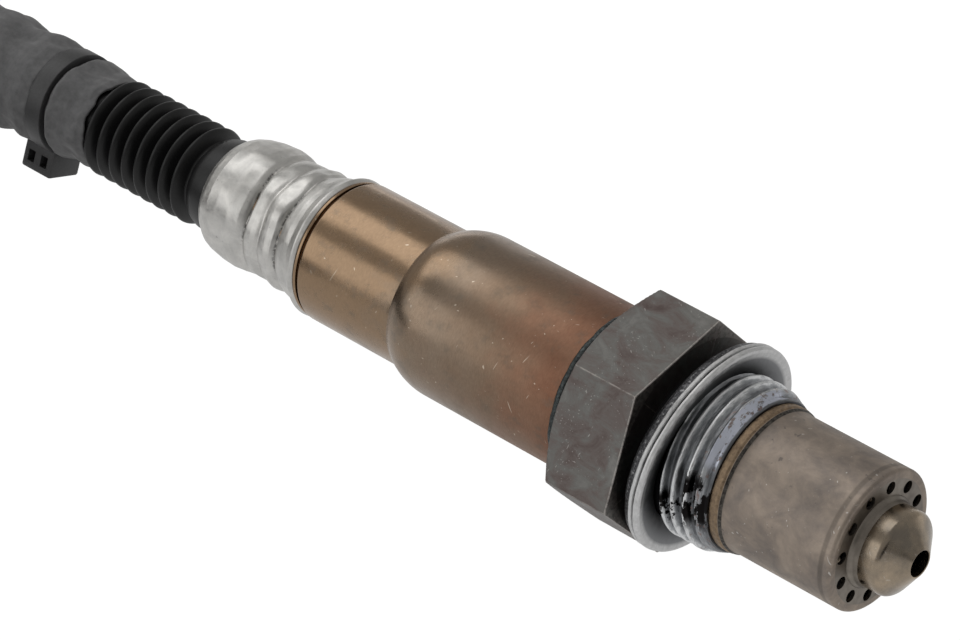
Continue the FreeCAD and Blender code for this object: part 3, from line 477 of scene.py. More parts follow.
def window(tree, value, low, high, soft):
    """1 between low and high, falling to 0 over soft outside them."""
    rise = span(tree, value, low - soft, low)
    fall = span(tree, value, high, high + soft, 1.0, 0.0)
    return times(tree, rise, fall)


def scratches(tree, seed, thin=5.0, long=0.25, least=0.76):
    """A mask of a few short thin marks that lie in one direction."""
    turn = (37.0 * seed % 180, 61.0 * seed % 180, 83.0 * seed % 180)
    lines = span(tree, noise(tree, coordinates(tree, (long, thin, thin), turn), 1.0, 0.0), least, least + 0.05)
    patches = span(tree, noise(tree, coordinates(tree, (0.3, 0.3, 0.3), turn), 1.0, 0.0), 0.56, 0.66)
    return times(tree, lines, patches)


def scratched(tree, colour, seeds, amount, mark, *shape):
    """The colour with scratches of every seed on it."""
    for seed in seeds:
        colour = mix(tree, times(tree, scratches(tree, seed, *shape), amount), colour, mark)
    return colour


def grainy(tree, colour, fine, amount):
    """The colour made a little darker or lighter by a fine grain."""
    grain = ramp(tree, fine, [(0.3, (1 - amount,) * 3), (0.7, (1 + 0.4 * amount,) * 3)])
    return mix(tree, 1.0, colour, grain, "MULTIPLY")


def coat(tree, shader, colour, roughness):
    """Give the shader its colour and its roughness."""
    link(tree, colour, shader.inputs["Base Color"])
    link(tree, roughness, shader.inputs["Roughness"])


def hexagon_steel():
    """Forged and machined steel, stained olive-grey and red-brown, with scratches and a painted highlight along its
    corner and front edges.
    """
    material, tree, shader = new_material("hexagon_steel", 1.0)
    along, radius, angle = axis_place(tree)
    stain = noise(tree, coordinates(tree, (0.16, 0.22, 0.22)), 1.5, 6.0, 0.68, 0.6)
    colour = ramp(tree, stain, [
        (0.30, srgb(94, 83, 80)), (0.44, srgb(110, 102, 99)), (0.56, srgb(116, 115, 112)), (0.72, srgb(134, 132, 129))])
    wisps = noise(tree, coordinates(tree, (0.9, 1.4, 1.4)), 1.5, 6.0, 0.72)
    colour = grainy(tree, colour, wisps, 0.22)
    colour = scratched(tree, colour, (4, 5, 6, 7), 0.35, srgb(205, 203, 198), 6.0, 0.22, 0.765)
    flecks = span(tree, noise(tree, coordinates(tree, (2.2, 2.2, 2.2)), 1.6, 1.0), 0.80, 0.84)
    colour = mix(tree, times(tree, flecks, 0.7), colour, srgb(215, 212, 206))
    # Painted highlight: thin light lines along the corners and the front edge, their strength varied by the wisps.
    turned = math_node(tree, "MODULO", plus(tree, angle, 60.0 - HEX_PHASE), 60.0)
    corner = plus(tree, span(tree, turned, 0.0, 0.55, 1.0, 0.0), span(tree, turned, 59.45, 60.0))
    front = times(tree, window(tree, along, -0.13, -0.02, 0.05), span(tree, radius, 10.8, 10.9))
    edge_highlight_strength = span(tree, wisps, 0.35, 0.6, 0.10, 0.55)
    edge = times(tree, math_node(tree, "MAXIMUM", corner, front), edge_highlight_strength)
    colour = mix(tree, edge, colour, srgb(196, 190, 184))
    coat(tree, shader, colour, span(tree, wisps, 0.3, 0.7, 0.42, 0.6))
    add_bump(tree, shader, wisps, 0.12, 0.03)
    return material


def thread_steel():
    """Greased thread, lighter with height: painted shade in the roots and the relief groove, a painted highlight on the
    crests, shiny black patches and blue-grey grease at the end.
    """
    material, tree, shader = new_material("thread_steel", 1.0)
    along, radius, angle = axis_place(tree)
    streaks = noise(tree, coordinates(tree, (3.4, 0.45, 0.45)), 1.6, 6.0, 0.65)
    # Painted shade and painted highlight: the colour runs from dark in the roots to near white on the crests.
    height = plus(tree, radius, span(tree, streaks, 0.3, 0.7, -0.2, 0.2))
    colour = ramp(tree, span(tree, height, 8.1, 9.05), [
        (0.0, srgb(104, 106, 109)), (0.4, srgb(150, 152, 155)),
        (0.75, srgb(172, 174, 176)), (1.0, srgb(226, 227, 228))])
    jagged = noise(tree, coordinates(tree, (1.1, 0.7, 0.7)), 1.5, 6.0, 0.72)
    rust = times(tree, span(tree, jagged, 0.57, 0.61), window(tree, along, 7.3, 9.1, 0.3))
    colour = mix(tree, times(tree, rust, 0.7), colour, srgb(126, 104, 98))
    end = times(tree, window(tree, along, 7.9, 8.9, 0.12), window(tree, angle, 66.0, 140.0, 10.0))
    grease = times(tree, end, span(tree, jagged, 0.54, 0.57, 1.0, 0.0))
    colour = mix(tree, grease, colour, srgb(190, 194, 206))
    patch = noise(tree, coordinates(tree, (0.9, 0.34, 0.34)), 1.5, 5.0, 0.66)
    front = times(tree, window(tree, angle, 160.0, 186.0, 16.0), window(tree, along, 6.4, 9.2, 0.5))
    rear = times(tree, window(tree, angle, 180.0, 200.0, 10.0), window(tree, along, 3.6, 6.0, 0.4))
    black = times(tree, math_node(tree, "MAXIMUM", front, rear), span(tree, patch, 0.46, 0.51))
    colour = mix(tree, black, colour, srgb(22, 20, 20))
    # Painted shade: the relief groove and the deepest roots made almost black.
    low = span(tree, radius, 8.05, 8.25, 0.7, 0.0)
    colour = mix(tree, low, colour, srgb(40, 40, 42))
    coat(tree, shader, colour, mix(tree, black, (0.42,) * 3, (0.16,) * 3))
    add_bump(tree, shader, streaks, 0.22, 0.05)
    add_bump(tree, shader, jagged, 0.15, 0.06)
    return material


def gasket_steel():
    """Plated ring: a painted highlight on the rims, a grey face with painted shade that darkens it towards the thread,
    a speckled rear band whose darkness is partly painted shade.
    """
    material, tree, shader = new_material("gasket_steel", 1.0)
    along, radius = axis_place(tree)[:2]
    brushed = noise(tree, coordinates(tree, (2.0, 0.8, 0.8)), 1.5, 5.0, 0.66)
    # Painted shade darkening the face towards the thread, and a painted highlight on the outer rim.
    face = ramp(tree, span(tree, radius, 8.4, 11.3), [
        (0.0, srgb(62, 62, 64)), (0.3, srgb(104, 105, 107)), (0.8, srgb(140, 141, 143)), (0.94, srgb(212, 212, 212))])
    face = grainy(tree, face, brushed, 0.3)
    # The rear band: its speckle is its own, its darkness partly painted shade.
    speckle = noise(tree, coordinates(tree, (3.0, 3.0, 3.0)), 1.2, 3.0, 0.7)
    band = ramp(tree, speckle, [(0.42, srgb(50, 50, 52)), (0.60, srgb(96, 96, 98)), (0.74, srgb(190, 190, 190))])
    lean = times(tree, object_parts(tree)[2], -math.tan(math.radians(GASKET_TILT)) / MM)
    colour = mix(tree, span(tree, plus(tree, along, lean), 2.05, 2.2, 1.0, 0.0), face, band)
    coat(tree, shader, colour, span(tree, brushed, 0.3, 0.7, 0.42, 0.60))
    add_bump(tree, shader, brushed, 0.15, 0.02)
    return material


def tube_steel():
    """The outer tube: warm taupe steel with clouds, small bright marks, a bronze base ring, a dark bead."""
    material, tree, shader = new_material("tube_steel", 1.0)
    along = axis_place(tree)[0]
    clouds = noise(tree, coordinates(tree, (0.17, 0.2, 0.2)), 1.6, 6.0, 0.65, 0.4)
    colour = ramp(tree, clouds, [(0.32, srgb(128, 120, 114)), (0.5, srgb(149, 138, 128)), (0.7, srgb(170, 157, 144))])
    fine = noise(tree, coordinates(tree, (1.6, 1.2, 1.2)), 1.6, 5.0, 0.7)
    colour = grainy(tree, colour, fine, 0.1)
    blot = noise(tree, coordinates(tree, (0.5, 0.5, 0.5)), 1.4, 4.0, 0.6)
    colour = mix(tree, span(tree, blot, 0.66, 0.72, 0.0, 0.55), colour, srgb(84, 82, 82))
    colour = scratched(tree, colour, (1, 2, 3, 8), 0.5, srgb(228, 226, 220), 3.4, 0.28, 0.79)
    ring = ramp(tree, fine, [(0.35, srgb(112, 96, 80)), (0.65, srgb(158, 138, 114))])
    colour = mix(tree, span(tree, along, 10.25, 10.33, 1.0, 0.0), colour, ring)
    bead = ramp(tree, noise(tree, coordinates(tree, (1.6, 1.6, 1.6)), 1.6, 4.0, 0.7),
                [(0.38, srgb(58, 55, 52)), (0.62, srgb(98, 94, 89))])
    colour = mix(tree, window(tree, along, 10.38, 10.68, 0.05), colour, bead)
    shade = window(tree, along, 22.75, 23.05, 0.25)
    colour = mix(tree, times(tree, shade, 0.45), colour, srgb(86, 80, 74))
    coat(tree, shader, colour, span(tree, fine, 0.3, 0.7, 0.50, 0.62))
    add_bump(tree, shader, fine, 0.05, 0.02)
    return material


def cap_steel():
    """Crimped stainless cap: milky silver, fine wrinkles, painted shade as dark lines in the creases, small dark
    specks.
    """
    material, tree, shader = new_material("cap_steel", 1.0)
    along, _, angle = axis_place(tree)
    milky = noise(tree, coordinates(tree, (0.35, 0.3, 0.3)), 1.5, 6.0, 0.66, 0.5)
    colour = ramp(tree, milky, [(0.3, srgb(180, 179, 176)), (0.7, srgb(214, 212, 208))])
    wrinkles = noise(tree, coordinates(tree, (0.8, 1.6, 1.6)), 1.5, 5.0, 0.65, 0.8)
    colour = grainy(tree, colour, wrinkles, 0.08)
    specks = span(tree, noise(tree, coordinates(tree, (1.6, 1.6, 1.6)), 1.7, 2.0), 0.70, 0.76)
    colour = mix(tree, times(tree, specks, 0.5), colour, srgb(110, 108, 105))
    ragged = span(tree, noise(tree, coordinates(tree, (0.5, 1.1, 1.1)), 1.6, 5.0, 0.7), 0.40, 0.56)
    # Painted shade: ragged dark lines along the two creases, over part of the way round.
    for (middle, sway, lobes), low, high in ((REAR_CREASE, 104.0, 168.0), (FRONT_CREASE, 112.0, 182.0)):
        swing = math_node(tree, "SINE", times(tree, angle, math.radians(lobes)))
        away = math_node(tree, "SUBTRACT", along, times(tree, swing, sway))
        line = window(tree, away, middle - 0.05, middle + 0.05, 0.16)
        line = times(tree, line, window(tree, angle, low, high, 16.0))
        colour = mix(tree, times(tree, times(tree, line, ragged), 0.85), colour, srgb(70, 69, 68))
    coat(tree, shader, colour, span(tree, wrinkles, 0.3, 0.7, 0.34, 0.46))
    add_bump(tree, shader, wrinkles, 0.07, 0.05)
    return material


# Pieces

def hex_distance(angle):
    """Distance from the axis to the hexagon's faces, its corners a little rounded."""
    phase = math.radians(HEX_PHASE)
    near = (angle - phase) % (TURN / 6) - TURN / 12
    flat = HEX_FLATS / 2 / np.cos(near)
    corner = HEX_FLATS / 2 / math.cos(TURN / 12) - HEX_EDGE_ROUND
    return np.minimum(flat, corner)


def hexagon():
    """The wrench hexagon with its turned rear chamfer, as a grid that has the corners in it."""
    angles = []
    for k in range(6):
        corner = HEX_PHASE + 60 * k
        angles += [corner + step for step in (-0.5, 0.0, 0.5)]
        angles += list(np.linspace(corner + 1.4, corner + 58.6, 30))
    angles = np.radians(np.array(angles))
    corner = HEX_FLATS / 2 / math.cos(TURN / 12)
    first = corner - CHAMFER_DROP
    rings = [(-HEX_LENGTH, np.full_like(angles, 8.4)), (-HEX_LENGTH, np.full_like(angles, first - 0.15))]
    for k in range(13):
        x = -HEX_LENGTH + 0.05 + (CHAMFER_LENGTH + 0.1) * k / 12
        cone = first + (x + HEX_LENGTH) * CHAMFER_DROP / CHAMFER_LENGTH
        rings.append((x, np.minimum(hex_distance(angles), cone)))
    for x in (-6.0, -4.0, -2.0, -HEX_FRONT_EDGE):
        rings.append((x, hex_distance(angles)))
    rings.append((0.0, hex_distance(angles) - HEX_FRONT_EDGE))
    for radius in (10.6, 10.2, 9.6, 8.8, RELIEF_RADIUS):
        rings.append((0.0, np.full_like(angles, radius)))
    verts = []
    for x, reach in rings:
        for radius, angle in zip(reach, angles):
            verts.append((x, radius * math.cos(angle), radius * math.sin(angle)))
    return finish_mesh(mesh_object("housing_hexagon", verts, ring_faces(len(rings), len(angles))), 20.0)


def thread_shape(x, radius, angle):
    """A right-hand thread cut into the spigot, with its run-out and its long chamfered end."""
    lead = (x / THREAD_PITCH - angle / TURN - THREAD_START) % 1.0
    flank = np.abs(lead - 0.5) * 2
    tooth = smooth_step(0.10, 0.80, flank)
    rise = np.clip((x - RELIEF_LENGTH) / THREAD_RUNOUT, 0, 1)
    top = RELIEF_RADIUS + (THREAD_RADIUS - RELIEF_RADIUS) * rise
    end = THREAD_RADIUS - NOSE_SLOPE * np.clip(x - NOSE_START, 0, 3)
    cut = THREAD_RADIUS - THREAD_DEPTH * tooth
    filled = np.maximum(cut, THREAD_RADIUS - 0.45 - 0.35 * wave(6, x, angle, 0.5, 7))
    grease = angle_bell(angle, 110, 55)
    cut = cut + (filled - cut) * grease * 0.5
    wear = 0.03 * wave(5, x, angle, 1.4, 16) * smooth_step(3.0, 5.0, x)
    inside = (x > 0.05) & (x < NOSE - 0.01)
    return x, np.where(inside, np.minimum(np.minimum(top, end), cut) + wear * rise, radius)


def spigot():
    """The threaded front of the housing with its end face."""
    outline = [(0.0, RELIEF_RADIUS)]
    outline += [(x, THREAD_RADIUS) for x in np.arange(0.1, NOSE - 0.02, 0.06)]
    outline += [(NOSE, 7.95), (NOSE, 3.4)]
    return lathe("housing_thread", outline, 288, thread_shape, crease=60)


def collar():
    """The housing's rear collar inside the sleeve."""
    outline = [(-HEX_LENGTH, 8.52), (-12.4, 8.52), (-12.4, 4.7), (-11.6, 4.7)]
    return lathe("housing_collar", outline)


def gasket():
    """Folded loose ring: a soft-edged rear layer, a dark gap, a bright front rim, a face that sinks inward."""
    outline = rounded([
        (2.55, 8.3), (2.75, 8.8, 0.3), (3.15, 10.4, 1.0), (3.35, 11.25, 0.3), (3.28, 11.56, 0.1), (2.98, 11.66, 0.1),
        (2.76, 11.66, 0.08), (2.70, 11.4, 0.02), (2.70, 9.6), (2.56, 9.6), (2.56, 11.4, 0.02), (2.48, 11.62, 0.08),
        (2.20, 11.66, 0.08), (2.0, 11.46, 0.1), (1.45, 11.3, 0.4), (0.95, 10.7, 0.5), (0.6, 9.6, 0.3),
        (0.6, 8.3), (2.55, 8.3)], 5)

    def uneven(x, radius, angle):
        edge = smooth_step(9.5, 11.0, radius)
        return x + 0.04 * edge * wave(11, x * 0, angle, 0.0, 5), radius + 0.03 * edge * wave(12, x * 0, angle, 0, 7)
    item = lathe("gasket_ring", outline, 256, uneven)
    middle = Vector((2.6 * MM, 0, 0))
    lean = Matrix.Rotation(math.radians(GASKET_TILT), 4, "Y")
    lift = Vector((0.1 * MM, 0, 0.2 * MM))
    item.data.transform(Matrix.Translation(middle + lift) @ lean @ Matrix.Translation(-middle))
    for vertex in item.data.vertices:
        vertex.co.x = max(vertex.co.x, 0.02 * MM)
    return item


def outer_tube():
    """Base ring, weld bead and wall of the outer tube, up to its vented face."""
    outline = rounded([
        (NOSE, 7.25), (NOSE, BASE_RADIUS, 0.06), (BASE_END - 0.25, BASE_RADIUS + 0.04, 0.2),
        (BASE_END, 7.82, 0.1), (BASE_END + 0.1, 7.88, 0.05), (BASE_END + 0.46, 7.68, 0.1),
        (BASE_END + 0.54, TUBE_RADIUS), (16.0, TUBE_RADIUS), (TUBE_FACE, TUBE_RADIUS, TUBE_CORNER),
        (TUBE_FACE, FACE_RADIUS)], 10)
    return lathe("outer_tube_wall", dense(outline, 0.8), 256, crease=50)


def vented_face():
    """The flat end of the outer tube, a plate with its round holes."""
    curve = bpy.data.curves.new("outer_tube_face", "CURVE")
    curve.dimensions = "2D"
    curve.fill_mode = "BOTH"
    curve.resolution_u = 24
    circles = [(0.0, 0.0, FACE_RADIUS), (0.0, 0.0, 4.92)]
    for k in range(VENT_COUNT):
        turn = math.radians(VENT_PHASE + 360 / VENT_COUNT * k)
        circles.append((VENT_CIRCLE * math.cos(turn), VENT_CIRCLE * math.sin(turn), VENT_RADIUS))
    for across, up, radius in circles:
        spline = curve.splines.new("POLY")
        steps = 256 if radius > 2 else 40
        spline.points.add(steps - 1)
        for i, point in enumerate(spline.points):
            turn = TURN * i / steps
            point.co = ((across + radius * math.cos(turn)) * MM, (up + radius * math.sin(turn)) * MM, 0, 1)
        spline.use_cyclic_u = True
    curve.extrude = TUBE_WALL / 2 * MM
    flat = add_object("vent_curve", curve)
    mesh = final_mesh(flat)
    bpy.data.objects.remove(flat)
    turn_up = Matrix(((0, 0, 1, (TUBE_FACE - TUBE_WALL / 2) * MM), (1, 0, 0, 0), (0, 1, 0, 0), (0, 0, 0, 1)))
    mesh.transform(turn_up)
    return finish_mesh(add_object("outer_tube_face", mesh), 30)


def dark_liner():
    """Painted shade: a dark wall just inside the vents, so that the holes look into the dark."""
    outline = [(TUBE_FACE - 1.6, 4.9), (TUBE_FACE - 1.6, 7.0), (TUBE_FACE - TUBE_WALL - 0.02, 7.0)]
    return lathe("outer_tube_painted_shade", outline, 96)


def root_ring():
    """The flare from the vented face up to the snout."""
    outline = rounded([
        (TUBE_FACE - TUBE_WALL, 4.5), (TUBE_FACE - TUBE_WALL, 5.0), (TUBE_FACE, 4.98, 0.02),
        (TUBE_FACE + 0.12, 4.92, 0.1), (TUBE_FACE + 0.42, 4.66, 0.5), (TUBE_FACE + 0.95, SNOUT_RADIUS),
        (TUBE_FACE + 0.95, 4.46), (TUBE_FACE - TUBE_WALL, 4.46)], 6)
    return lathe("outer_tube_root", outline, 192)


def snout():
    """The inner tube's nozzle: a straight neck, a cone and the open tip."""
    outline = rounded([
        (22.6, 4.9), (23.0, 4.47), (SNOUT_SHOULDER, SNOUT_RADIUS, 0.85), (SNOUT_TIP - 0.1, 1.66, 0.12),
        (SNOUT_TIP, 1.52, 0.06), (SNOUT_TIP - 0.05, NOZZLE_RADIUS, 0.03), (28.3, NOZZLE_RADIUS - 0.03),
        (27.0, 3.0), (25.4, 4.0), (22.8, 4.0)], 10)
    return lathe("nozzle", dense(outline, 0.5), 192, crease=55)


def inner_tube():
    """The inner tube's wall and its clamped flange."""
    outline = [(NOSE, 4.7), (NOSE, 7.1), (NOSE + 0.4, 7.1), (NOSE + 0.4, 5.1), (22.6, 5.1), (22.6, 4.7), (NOSE, 4.7)]
    return lathe("inner_tube", outline, 96)


def sleeve():
    """Big and small steps with a rounded shoulder between, tucked in at the rear behind a dark slot."""
    shoulder = []
    radius = 7.4
    for k in range(15):
        x = SHOULDER_START + (SHOULDER_END - SHOULDER_START) * k / 14
        away = SHOULDER_START - x
        shoulder.append((x, SLEEVE_RADIUS - radius + math.sqrt(radius ** 2 - away ** 2)))
    outline = [(-9.55, 8.6), (-9.55, 9.0), (-9.7, SLEEVE_RADIUS)]
    outline += dense([(-10.0, SLEEVE_RADIUS), (SHOULDER_START + 0.1, SLEEVE_RADIUS)], 2.0)
    outline += shoulder
    end = SMALL_SLEEVE_END
    outline += rounded([
        (SHOULDER_END, shoulder[-1][1]), (SHOULDER_END - 0.22, 7.84, 0.08), (-34.2, SMALL_SLEEVE_RADIUS),
        (-40.0, SMALL_SLEEVE_RADIUS), (end, SMALL_SLEEVE_RADIUS, 0.55), (end, 7.1, 0.1), (end - 0.28, 7.1),
        (end - 0.28, 7.66, 0.08), (end - 0.62, 7.70, 0.08), (end - 0.64, 6.9),
        (-47.4, 6.2), (-59.6, 6.0), (-59.6, 5.5)], 10)[1:]
    return lathe("sleeve_shell", outline, 256, crease=40)


def sleeve_weld():
    """Dark uneven weld bead between the sleeve and the hexagon."""
    outline = [(-9.0, 8.7), (-9.02, 9.0), (-9.86, 9.04), (-9.96, 9.14), (-10.2, 9.2), (-10.42, 9.17),
               (-10.56, 9.09), (-10.6, 9.0)]

    def beads(x, radius, angle):
        lump = 0.5 + 0.5 * np.sin(angle * 61 + 2.0 * np.sin(angle * 3))
        on_top = smooth_step(9.05, 9.15, radius)
        return x + 0.08 * wave(3, x * 0, angle, 0.0, 14), radius + 0.05 * lump * on_top
    return lathe("weld_bead", outline, 480, beads)


def crease_place(angle, crease):
    """Where a crease lies along the axis as it wanders round the cap."""
    middle, sway, lobes = crease
    return middle + sway * np.sin(lobes * angle)


def cap_shape(x, radius, angle):
    """Soft creases and dents left by the crimping jaws."""
    lip = smooth_step(-48.6, -49.4, x)
    jaws = 0.12 * np.cos(8 * angle + 0.6) * bump_at(x, -52.1, 1.2)
    jaws += 0.09 * np.cos(8 * angle + 2.1) * bump_at(x, -54.4, 1.1)
    jaws += 0.10 * np.cos(7 * angle + 0.2) * bump_at(x, -57.6, 1.6)
    crease = -0.40 * bump_at(x, crease_place(angle, REAR_CREASE), 0.22) * (0.12 + angle_bell(angle, 138, 32))
    crease += -0.34 * bump_at(x, crease_place(angle, FRONT_CREASE), 0.22) * (0.18 + angle_bell(angle, 146, 36))
    crease += -0.14 * bump_at(x, -53.4 + 0.1 * np.sin(5 * angle), 0.3)
    rough = 0.06 * wave(21, x, angle, 0.6, 9)
    inside = radius > 6.1
    return x, np.where(inside, radius + lip * (jaws + crease + rough), radius)


def cap():
    """The crimped cap from its flared lip to the boot's mouth."""
    outline = rounded([
        (-47.25, 6.4), (-47.12, 7.3, 0.1), (-47.22, 7.66, 0.18), (-47.75, 7.86, 0.34), (-48.25, 7.5, 0.35),
        (-48.75, 7.2, 0.5), (-49.5, 7.06, 1.0), (-50.2, 6.85, 0.8), (-50.9, 6.56, 0.4), (-51.5, 6.76, 0.7),
        (-52.3, 6.84, 1.0), (-53.4, 6.62, 0.9), (-54.4, 6.68, 0.9), (-55.0, 6.64, 0.6), (-55.65, 6.48, 0.3),
        (-56.4, 6.80, 0.8), (-57.8, 6.96, 2.0), (-59.6, 6.88, 2.0), (-61.0, 6.66, 0.5), (-62.0, 6.3, 1.0),
        (-62.75, 5.75, 0.3), (-62.7, 5.55, 0.1), (-61.6, 5.53)], 8)
    return lathe("cap_shell", dense(outline, 0.18), 320, cap_shape, crease=70)


def rib_outline():
    """The bellows: rounded crests and deep narrow valleys."""
    outline = [(-60.0, 5.45), (-62.0, 5.45), (-63.0, 5.36), (-64.6, 5.2), (-65.4, 4.9), (-65.8, 4.5),
               (RIB_START, VALLEY_RADIUS)]
    for k in range(RIB_COUNT):
        front = RIB_START - RIB_PITCH * k - 0.2
        for share in np.linspace(0.0, 1.0, 17)[:-1]:
            rise = 0.5 - 0.5 * math.cos(TURN * share)
            outline.append((front - RIB_PITCH * share, VALLEY_RADIUS + RIB_HEIGHT * rise ** 0.62))
    end = RIB_START - RIB_PITCH * RIB_COUNT - 0.3
    outline += [(end, VALLEY_RADIUS), (end - 0.2, 4.35), (end - 4.0, 4.35)]
    return outline


def boot():
    """The ribbed rubber boot, a little uneven."""
    def bow(x, radius, angle):
        return x, radius + 0.02 * wave(31, x, angle, 0.3, 4)

    return lathe("boot_bellows", rib_outline(), 160, bow, crease=80)


def cuff_shape(x, radius, angle):
    """Folds of the gathered cloth, drawn in under the strap, ragged at the bellows' end."""
    tie = bump_at(x, -88.0, 1.3)
    behind = smooth_step(-89.5, -92.5, x)
    folds = 0.22 * wave(41, x, angle, 0.35, 6) * (1 - 0.85 * tie)
    folds += 0.12 * wave(43, x, angle, 0.9, 12) * (1 - 0.8 * tie)
    folds += 0.32 * behind * np.sin(0.9 * (x + 92) + 1.5 * np.sin(angle + 0.7)) * bump_at(x, -97.0, 6.0)
    ridge = 0.14 * np.sin(5 * angle + 0.25 * x) * bump_at(x, -84.0, 1.8)
    ragged = smooth_step(-82.6, -81.2, x)
    x = x + ragged * (0.16 * wave(44, x * 0, angle, 0.0, 11) + 0.25 * np.sin(angle * 2 + 0.5))
    fade = 1 - 0.9 * smooth_step(-103.0, -105.8, x)
    return x, radius + (folds + ridge) * fade * (1 - 0.7 * ragged)


def cuff():
    """The gathered end of the cloth sheath."""
    outline = rounded([
        (-81.3, 4.6), (-80.9, 5.0, 0.15), (-82.0, 5.22, 1.0), (-83.4, 5.15, 1.5), (-84.9, 5.45, 1.0),
        (-86.2, 5.72, 0.5), (-86.75, 5.2, 0.3), (-87.0, 5.0, 0.3), (-88.9, 5.0, 0.3), (-89.5, 5.55, 0.5),
        (-91.0, 5.75, 1.2), (-93.5, 5.55, 1.5), (-96.0, 5.75, 2.0), (-99.5, 5.6, 2.0), (-103.0, 5.7, 2.0),
        (-106.0, 5.5, 0.5), (-106.3, 5.3)], 6)
    return lathe("cuff_cloth", dense(outline, 0.22), 224, cuff_shape, crease=75)


def strap():
    """The tie's band round the cuff."""
    outline = rounded([(TIE_FRONT, 5.0), (TIE_FRONT, 5.85, 0.1), (TIE_REAR, 5.85, 0.1), (TIE_REAR, 5.0)], 4)
    return lathe("tie_band", outline, 128)


def block(name, low, high, bevel):
    """A bevelled block between two corners, in millimetres."""
    (x0, y0, z0), (x1, y1, z1) = low, high
    verts = [(x, y, z) for x in (x0, x1) for y in (y0, y1) for z in (z0, z1)]
    faces = [(0, 1, 3, 2), (4, 6, 7, 5), (0, 4, 5, 1), (2, 3, 7, 6), (0, 2, 6, 4), (1, 5, 7, 3)]
    item = mesh_object(name, verts, faces)
    bm = bmesh.new()
    bm.from_mesh(item.data)
    bmesh.ops.recalc_face_normals(bm, faces=bm.faces)
    if bevel:
        bmesh.ops.bevel(bm, geom=bm.edges[:], offset=bevel * MM, segments=2, affect="EDGES", profile=0.5)
    bm.to_mesh(item.data)
    bm.free()
    return finish_mesh(item, 30)


def strap_head():
    """The strap's square head with the two square pockets in its end."""
    head = block("tie_head", (-91.0, -2.3, 4.8), (-86.6, 2.3, 8.4), 0.3)
    for middle in (-89.75, -87.85):
        pocket = block("pocket", (middle - 0.5, 1.2, 6.2), (middle + 0.5, 3.0, 7.5), 0.0)
        cut = head.modifiers.new("pocket", "BOOLEAN")
        cut.operation = "DIFFERENCE"
        cut.solver = "EXACT"
        cut.object = pocket
        carved = final_mesh(head)
        head.modifiers.clear()
        head.data = carved
        bpy.data.objects.remove(pocket)
    finish_mesh(head, 30)
    head.data.transform(Matrix.Rotation(math.radians(TIE_HEAD_ANGLE), 4, "X"))
    return head


def arc_points(middle, radius, start, sweep, count, level):
    """Control points a little outside an arc, which the smooth line then follows."""
    step = sweep / count
    reach = radius / math.cos(math.radians(step / 2))
    points = []
    for k in range(count):
        degrees = start + step * (k + 0.5)
        angle = math.radians(degrees)
        points.append((middle[0] + reach * math.cos(angle), middle[1] + reach * math.sin(angle), level(degrees)))
    return points


def coil_level(degrees):
    """Height of the sheath's middle along the coil: the upper pass, the way down, the lower pass."""
    share = min(1.0, max(0.0, (degrees - COIL_DOWN[0]) / (COIL_DOWN[1] - COIL_DOWN[0])))
    return COIL_HIGH + (COIL_LOW - COIL_HIGH) * share * share * (3 - 2 * share)


def put_away_points():
    """The coil, then the tail that turns inside it to the plug."""
    points = arc_points(COIL_MIDDLE, COIL_RADIUS, COIL_ENTER, COIL_LEAVE - COIL_ENTER, COIL_STEPS, coil_level)
    leave = math.radians(COIL_LEAVE)
    inward = COIL_RADIUS - TAIL_RADIUS
    hub = (COIL_MIDDLE[0] + inward * math.cos(leave), COIL_MIDDLE[1] + inward * math.sin(leave))
    points += arc_points(hub, TAIL_RADIUS, COIL_LEAVE, TAIL_TURN, TAIL_STEPS, lambda degrees: COIL_LOW)
    turn = math.radians(COIL_LEAVE + TAIL_TURN)
    points.append((hub[0] + TAIL_RADIUS * math.cos(turn) - TAIL_STRAIGHT * math.sin(turn),
                   hub[1] + TAIL_RADIUS * math.sin(turn) + TAIL_STRAIGHT * math.cos(turn), COIL_LOW))
    return points


def coil_strap():
    """Strap round both passes, a little proud of the sheath and flat where it meets the floor."""
    radius = SHEATH_DIAMETER / MM / 2
    low, high = COIL_LOW / MM, COIL_HIGH / MM
    turn = COIL_RADIUS / MM
    rings = []
    for offset, half_width in ((-0.6, 2.0), (0.25, 2.0), (0.45, 1.8), (0.45, -1.8), (0.25, -2.0), (-0.6, -2.0)):
        ring = []
        for k in range(COIL_TIE_STEPS):
            angle = TURN * (k + 0.5) / COIL_TIE_STEPS
            up = high if math.sin(angle) > 0 else low
            across = turn + (radius + offset) * math.cos(angle)
            height = max(up + (radius + offset) * math.sin(angle), FLOOR)
            ring.append((across, half_width, height))
        rings.append(ring)
    verts = [point for ring in rings for point in ring]
    band = finish_mesh(mesh_object("coil_strap", verts, ring_faces(len(rings), COIL_TIE_STEPS, True)), 40)
    middle = (low + high) / 2
    head = block("coil_strap_head", (turn - radius - 3.5, -2.0, middle - 2.0),
                 (turn - radius - 0.1, 2.0, middle + 2.0), 0.3)
    spin = Matrix.Rotation(math.radians(COIL_TIE_ANGLE), 4, "Z")
    shift = Matrix.Translation((COIL_MIDDLE[0], COIL_MIDDLE[1], 0))
    for item in (band, head):
        item.data.transform(shift @ spin)
    return band, head


def sheath():
    """The whole cord as one smooth curve: lead, coil and tail."""
    curve = bpy.data.curves.new("sheath", "CURVE")
    curve.dimensions = "3D"
    spline = curve.splines.new("NURBS")
    points = LEAD_ROUTE + put_away_points()
    spline.points.add(len(points) - 1)
    for point, place in zip(spline.points, points):
        point.co = (*place, 1.0)
    spline.order_u = 3
    spline.use_endpoint_u = True
    spline.resolution_u = 10
    curve.bevel_depth = SHEATH_DIAMETER / 2
    curve.bevel_resolution = 12
    curve.use_fill_caps = True
    return add_object("sheath", curve)


# Stage

